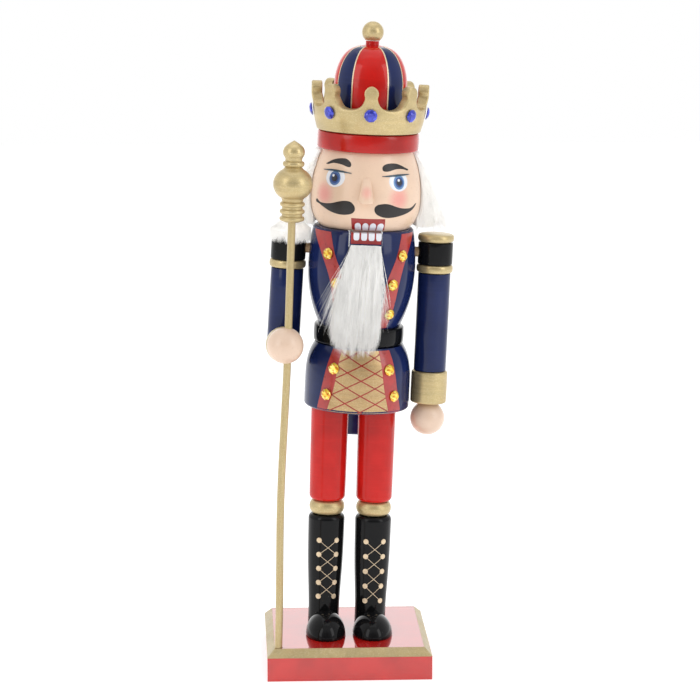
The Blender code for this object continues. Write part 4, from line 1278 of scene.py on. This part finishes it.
def strands(paths, radius):
    """Tapered three-sided hairs along an array of paths: hairs, points along each, xyz."""
    count, length = paths.shape[:2]
    along = np.gradient(paths, axis=1)
    along /= np.linalg.norm(along, axis=2, keepdims=True) + 1e-12
    side = np.cross(along, np.array((0.31, 0.89, 0.33)))
    side /= np.linalg.norm(side, axis=2, keepdims=True) + 1e-12
    other = np.cross(along, side)
    taper = np.interp(np.linspace(0, 1, length), (0, 0.5, 0.85, 1), (1.0, 0.9, 0.6, 0.12))
    size = radius[:, None] * taper[None, :]
    rings = []
    for k in range(3):
        angle = 2 * math.pi * k / 3
        rings.append(paths + size[:, :, None] * (math.cos(angle) * side + math.sin(angle) * other))
    points = np.stack(rings, axis=2).reshape(-1, 3)
    ring = (np.arange(count)[:, None] * length + np.arange(length - 1)[None, :]) * 3
    faces = []
    for k in range(3):
        n = (k + 1) % 3
        faces.append(np.stack([ring + k, ring + n, ring + 3 + n, ring + 3 + k], axis=-1).reshape(-1, 4))
    first = np.arange(count) * length * 3
    last = first + (length - 1) * 3
    caps = [np.stack([first + 2, first + 1, first], axis=-1), np.stack([last, last + 1, last + 2], axis=-1)]
    return points, [face.tolist() for face in faces], [cap.tolist() for cap in caps]


def make_fur(name, paths, radius, matrix, body, material):
    points, sides, caps = strands(paths, radius)
    faces = [face for group in sides + caps for face in group]
    return make_piece(name, [(points.tolist(), faces)], matrix, material, body, sharp=180)


def between_ends(start, end, along):
    """A value along each hair, from its root to its tip."""
    return start[:, None] + (end - start)[:, None] * along


def wave(share, phase, turns):
    return np.sin(share * turns * 2 * math.pi + phase) * share


BEARD_SEED = 11
BEARD_HAIRS = 7000
BEARD_LOCKS = 110
BEARD_POINTS = 5


def build_beard():
    """Long straight hairs from the jaw that fan out to the left and gather in pointed locks."""
    random = np.random.default_rng(BEARD_SEED)
    low, high = extent("beard", CHEST)
    front, back, top = low[1], high[1], high[2]
    lock_share = random.uniform(-1, 1, BEARD_LOCKS)
    lock_depth = random.uniform(0, 1, BEARD_LOCKS)
    lock_short = random.beta(1.0, 4.4, BEARD_LOCKS)
    lock = random.integers(0, BEARD_LOCKS, BEARD_HAIRS)
    stray = random.uniform(0, 1, BEARD_HAIRS) < 0.15
    jitter = random.normal(0, 1, (6, BEARD_HAIRS))
    share = np.clip(lock_share[lock] + jitter[0] * 0.12, -1, 1)
    depth = np.clip(lock_depth[lock] + jitter[1] * 0.2, 0, 1)
    start_x = share * 8.6 * MM
    start_y = back + (front - back) * (0.12 + 0.55 * depth)
    start_z = top - random.uniform(0, 1, BEARD_HAIRS) ** 2 * 3 * MM
    end_x = np.interp(lock_share[lock], (-1, -0.5, 0, 0.5, 1), (-18.5, -12.5, -4.5, 3.0, 9.5)) * MM
    end_x += jitter[2] * np.where(stray, 4.2, 0.9) * MM
    end_z = np.interp(end_x / MM, (-20, -17, -13, -8, -3, 3, 8, 13),
                      (182, 176, 172, 170, 169.5, 170.5, 173, 184)) * MM
    end_z += (lock_short[lock] * 20 + np.abs(jitter[3]) * 5.2 + np.abs(jitter[2]) * 1.8) * MM
    end_y = back + (front - back) * (0.10 + 0.6 * depth) + jitter[4] * 0.4 * MM
    along = np.linspace(0, 1, BEARD_POINTS)
    x = between_ends(start_x, end_x, along ** 0.92)
    x += wave(along, jitter[5][:, None] * 3, 0.6) * 0.5 * MM
    bulge = np.sin(along * math.pi) * (0.25 + 0.75 * depth[:, None]) * 1.9 * MM
    y = np.clip(between_ends(start_y, end_y, along) - bulge, front - 1.0 * MM, back)
    paths = np.stack([x, y, between_ends(start_z, end_z, along)], axis=2)
    radius = random.uniform(0.055, 0.10, BEARD_HAIRS) * MM
    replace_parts(make_fur("beard_hairs", paths, radius, CHEST, "beard", BEARD_STRANDS), "beard")


def build_beard_core():
    """The tuft under the loose hairs: a flat lofted body with combed ridges and a ragged point."""
    low, high = extent("beard", CHEST)
    front, back = low[1], high[1]
    bottom, top = low[2], high[2]
    rows = 30
    around = 80
    points = []
    for i in range(rows):
        share = i / (rows - 1)
        height = top - 0.3 * MM - (top - bottom - 14 * MM) * share
        left = np.interp(share, (0, 0.3, 0.8, 1), (-8.4, -11.0, -12.5, -6.5)) * MM
        right = np.interp(share, (0, 0.2, 0.6, 0.85, 1), (8.4, 9.6, 8.4, 6.0, 1.5)) * MM
        thick = (back - front) * np.interp(share, (0, 0.2, 0.7, 1), (0.42, 0.55, 0.45, 0.12))
        for k in range(around):
            angle = 2 * math.pi * k / around
            ridge = 1 + 0.05 * math.sin(k * 2.4 + 3 * share) + 0.03 * math.sin(k * 1.1 - 5 * share)
            x = (left + right) / 2 + (right - left) / 2 * math.cos(angle)
            y = back - 0.2 * MM - thick / 2 * (1 + math.sin(angle) * ridge * 0.95)
            points.append((x, y, height - 1.5 * MM * share * (math.sin(k * 1.9) ** 2)))
    tuft = make_piece("beard_tuft", [(points, lofted(rows, around))], CHEST, BEARD_STRANDS,
                      "beard", sharp=80)
    turn_outwards(tuft)


HAIR_PARTS = (("left", -172, -84), ("back", 128, 232), ("right", 84, 172))
HAIR_SEED = 20
HAIR_HAIRS = 7000
HAIR_POINTS = 5
HAIR_LOCKS = 220
HAIR_TOP = 289.0                # highest root, mm
HAIR_BOTTOM = 241.5             # lowest tip, mm
FACE_HALF = 79.5                # degrees either side of the front that the hair keeps clear of
HAIR_OUTLINE = {                # radius the hair reaches at each height, mm
    "height": (240.0, 245.0, 253.0, 262.0, 268.0, 276.0, 282.0, 287.0, 290.0),
    "left": (41.0, 41.5, 41.0, 40.5, 40.0, 39.0, 36.0, 34.0, 32.0),
    "right": (50.5, 50.0, 48.0, 45.0, 43.0, 40.0, 37.5, 35.0, 32.5),
}


def hair_reach(x_share, height):
    """How far out the hair stands: more on the right, where it rests on the shoulder."""
    left = np.interp(height / MM, HAIR_OUTLINE["height"], HAIR_OUTLINE["left"])
    right = np.interp(height / MM, HAIR_OUTLINE["height"], HAIR_OUTLINE["right"])
    side = np.clip((x_share + 1) / 2, 0, 1)
    return (left + (right - left) * side) * MM


def build_hair_part(number, name, first, last):
    """Soft hairs that leave the head high up, fall outwards and end level with the shoulders."""
    random = np.random.default_rng(HAIR_SEED + number)
    lock = random.integers(0, HAIR_LOCKS, HAIR_HAIRS)
    lock_turn = random.uniform(first, last, HAIR_LOCKS)
    lock_layer = random.uniform(0, 1, HAIR_LOCKS)
    jitter = random.normal(0, 1, (5, HAIR_HAIRS))
    turn = lock_turn[lock] + jitter[0] * 3.2
    turn = np.where(np.abs(turn) < FACE_HALF, np.sign(turn) * (2 * FACE_HALF - np.abs(turn)), turn)
    layer = np.clip(lock_layer[lock] + jitter[1] * 0.15, 0.02, 1.0)
    start_z = (HAIR_TOP - 26.0 * random.uniform(0, 1, HAIR_HAIRS) ** 1.3 * (1 - layer * 0.35)) * MM
    length = random.uniform(18, 44, HAIR_HAIRS) * MM
    ragged = random.uniform(0, 1, HAIR_LOCKS)[lock] ** 1.3 * 7
    end_z = np.maximum(start_z - length, (HAIR_BOTTOM + ragged + np.abs(jitter[2]) * 2.5) * MM)
    along = np.linspace(0, 1, HAIR_POINTS)
    z = between_ends(start_z, end_z, along)
    degrees = between_ends(turn, turn + jitter[3] * 4, along)
    sine = np.sin(np.radians(degrees))
    scalp = np.interp(z, HEAD.heights, HEAD.radii) + 0.4 * MM
    reach = np.maximum(hair_reach(sine, z), scalp + 1 * MM)
    lift = (0.12 + 0.88 * along ** 0.8) * (0.15 + 0.85 * layer[:, None])
    radius = scalp + (reach - scalp) * lift + wave(along, jitter[4][:, None] * 2, 0.8) * 0.5 * MM
    radius = np.maximum(radius, scalp)
    paths = np.stack([radius * sine, -radius * np.cos(np.radians(degrees)), z], axis=2)
    width = random.uniform(0.09, 0.16, HAIR_HAIRS) * MM
    material = BACK_STRANDS if name == "back" else HAIR_STRANDS
    return make_fur("hair_" + name, paths, width, FIGURE, "figure", material)


DRAPE_SEED = 31
DRAPE_HAIRS = 2600
DRAPE_POINTS = 9
DRAPE_LOCKS = 90


def build_drape(name, cap, first, last, low, high):
    """Hairs that leave the side of the head, cross the top of a shoulder cap and hang over its edge."""
    random = np.random.default_rng(DRAPE_SEED)
    corners = extent(cap, FIGURE)
    top = corners[1][2]
    middle = sum(corners) / 2
    side = np.sign(middle[0])
    lock = random.integers(0, DRAPE_LOCKS, DRAPE_HAIRS)
    jitter = random.normal(0, 1, (4, DRAPE_HAIRS))
    turn = np.radians(random.uniform(first, last, DRAPE_LOCKS)[lock] + jitter[0] * 5)
    layer = np.clip(random.uniform(0, 1, DRAPE_LOCKS)[lock] + jitter[1] * 0.12, 0, 1)
    outward = np.stack([side * np.cos(turn), -np.sin(turn)], axis=1)
    root = np.radians(random.uniform(84, 104, DRAPE_HAIRS))
    start_z = random.uniform(258, 276, DRAPE_HAIRS) * MM
    scalp = np.interp(start_z, HEAD.heights, HEAD.radii) + 0.5 * MM
    length = random.beta(1.3, 1.6, DRAPE_LOCKS)[lock]
    end_z = (low + (high - low) * length + np.abs(jitter[2]) * 0.9) * MM

    def over_cap(radius, height):
        radius = np.broadcast_to(radius, turn.shape)
        return np.stack([middle[0] + outward[:, 0] * radius, middle[1] + outward[:, 1] * radius,
                         np.broadcast_to(height, turn.shape)], axis=1)

    start = np.stack([side * scalp * np.sin(root), -scalp * np.cos(root), start_z], axis=1)
    crest = over_cap(6.0 * MM, top + (1.2 + 4.5 * layer) * MM)
    edge = over_cap((11.3 + 1.3 * layer) * MM, top - (0.2 - 0.9 * layer) * MM)
    tip = over_cap((11.5 + 1.6 * layer + 0.3 * jitter[3]) * MM, end_z)
    fall = (start + crest) / 2 + np.stack([side * 2.5 * MM * layer, 0 * layer, 3.0 * MM * layer], axis=1)
    marks = np.stack([start, fall, crest, edge, tip], axis=1)
    share = np.linspace(0, 4, DRAPE_POINTS)
    paths = np.stack([[np.interp(share, range(5), marks[i, :, k]) for k in range(3)]
                      for i in range(DRAPE_HAIRS)]).transpose(0, 2, 1)
    width = random.uniform(0.08, 0.14, DRAPE_HAIRS) * MM
    return make_fur("hair_drape_" + name, paths, width, FIGURE, "figure", HAIR_STRANDS)


PAD_HEIGHTS = (245.4, 289.4)
PAD_SPAN = (84, 276)            # degrees
NECK_TOP = 250 * MM
NECK_CLEAR = 30.6 * MM          # the pad keeps this far from the axis below the head's round


def build_scalp():
    """The padded hair body under the loose hairs, round the sides and back of the head."""
    rows = 26
    columns = 90
    front = []
    back = []
    for i, height in enumerate(np.linspace(*PAD_HEIGHTS, rows) * MM):
        for j, degrees in enumerate(np.linspace(*PAD_SPAN, columns)):
            around = math.radians(degrees)
            scalp = HEAD.radius(height) + 0.35 * MM
            if height < NECK_TOP:
                scalp = max(scalp, NECK_CLEAR)
            full = 0.55 * math.sin(math.pi * min(1, (j + 2) / 9, (columns + 1 - j) / 9) / 2)
            reach = scalp + 0.5 * MM + max(0, float(hair_reach(math.sin(around), height)) - scalp) * full
            reach += 0.35 * MM * math.sin(j * 1.7 + i * 0.4) * math.sin(j * 0.6 + 1)
            reach = max(reach, scalp + 0.4 * MM)
            front.append((reach * math.sin(around), -reach * math.cos(around), height))
            back.append((scalp * math.sin(around), -scalp * math.cos(around), height))
    return make_piece("hair_body", [closed_grid(front, back, rows, columns)], FIGURE, BACK_STRANDS,
                      sharp=80)


build_beard_core()
build_beard()
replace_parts(build_scalp(), "hair")
for number, (name, first, last) in enumerate(HAIR_PARTS):
    build_hair_part(number, name, first, last)
build_drape("left", "shoulder_cap_left", first=25, last=175, low=233.5, high=240.0)


# Stage, light and camera

def add_floor():
    mesh = bpy.data.meshes.new("floor")
    mesh.from_pydata([(-3, -3, 0), (3, -3, 0), (3, 3, 0), (-3, 3, 0)], [], [(0, 1, 2, 3)])
    look = Look("floor_paper", 0.9, specular=0.1)
    soft = look.noise((4, 4, 4), 2.0)
    look.shader.inputs["Emission Color"].default_value = (1, 1, 1, 1)
    look.shader.inputs["Emission Strength"].default_value = 0.35
    mesh.materials.append(look.finish(look.between(soft, (0.93, 0.93, 0.935), (0.95, 0.95, 0.95))))
    add_object("floor", mesh)


def add_light(name, place, target, size, energy, height=None):
    lamp = bpy.data.lights.new(name, "AREA")
    lamp.shape = "RECTANGLE"
    lamp.size = size
    lamp.size_y = height or size
    lamp.energy = energy
    item = add_object(name, lamp)
    item.location = place
    item.rotation_euler = (Vector(target) - Vector(place)).to_track_quat("-Z", "Y").to_euler()


def light_world():
    """White all round, dimmer low in front; the camera itself sees plain white."""
    world = bpy.data.worlds.new("studio")
    world.use_nodes = True
    bpy.context.scene.world = world
    nodes = world.node_tree.nodes
    links = world.node_tree.links
    background = nodes["Background"]
    background.inputs["Color"].default_value = (1, 1, 1, 1)
    direction = nodes.new("ShaderNodeTexCoord")
    split = nodes.new("ShaderNodeSeparateXYZ")
    links.new(direction.outputs["Generated"], split.inputs["Vector"])
    ahead = split.outputs["Y"]
    strength = nodes.new("ShaderNodeMath")
    links.new(ranged(nodes, links, ahead, 0.18, 0.88, -1.0, -0.55, True), strength.inputs[0])
    links.new(ranged(nodes, links, ahead, 0.0, 0.60, 0.72, 0.97, True), strength.inputs[1])
    links.new(strength.outputs["Value"], background.inputs["Strength"])
    seen = nodes.new("ShaderNodeBackground")
    seen.inputs["Color"].default_value = (1, 1, 1, 1)
    seen.inputs["Strength"].default_value = 1.0
    path = nodes.new("ShaderNodeLightPath")
    mix = nodes.new("ShaderNodeMixShader")
    links.new(path.outputs["Is Camera Ray"], mix.inputs["Fac"])
    links.new(background.outputs["Background"], mix.inputs[1])
    links.new(seen.outputs["Background"], mix.inputs[2])
    links.new(mix.outputs["Shader"], nodes["World Output"].inputs["Surface"])


def add_camera():
    target = Vector((2.27 * MM, 0, 188.8 * MM))
    azimuth = math.radians(-2.67)
    elevation = math.radians(10.26)
    distance = 1.602
    back = Vector((math.sin(azimuth) * math.cos(elevation), -math.cos(azimuth) * math.cos(elevation),
                   math.sin(elevation)))
    lens = bpy.data.cameras.new("camera")
    lens.lens = 138.857
    lens.sensor_width = 36
    camera = add_object("camera", lens)
    camera.location = target + back * distance
    camera.rotation_euler = (-back).to_track_quat("-Z", "Y").to_euler()
    bpy.context.scene.camera = camera


add_floor()
light_world()
add_light("softbox_left", (-0.9, -0.75, 0.75), (0, 0, 0.18), 0.45, 2.9, 1.0)
add_light("softbox_right", (0.95, -0.70, 0.70), (0, 0, 0.18), 0.45, 3.4, 1.0)
add_light("softbox_top", (0, 0.1, 1.2), (0, 0, 0.2), 0.9, 1.6)
add_camera()
bpy.context.scene.view_settings.view_transform = "Standard"
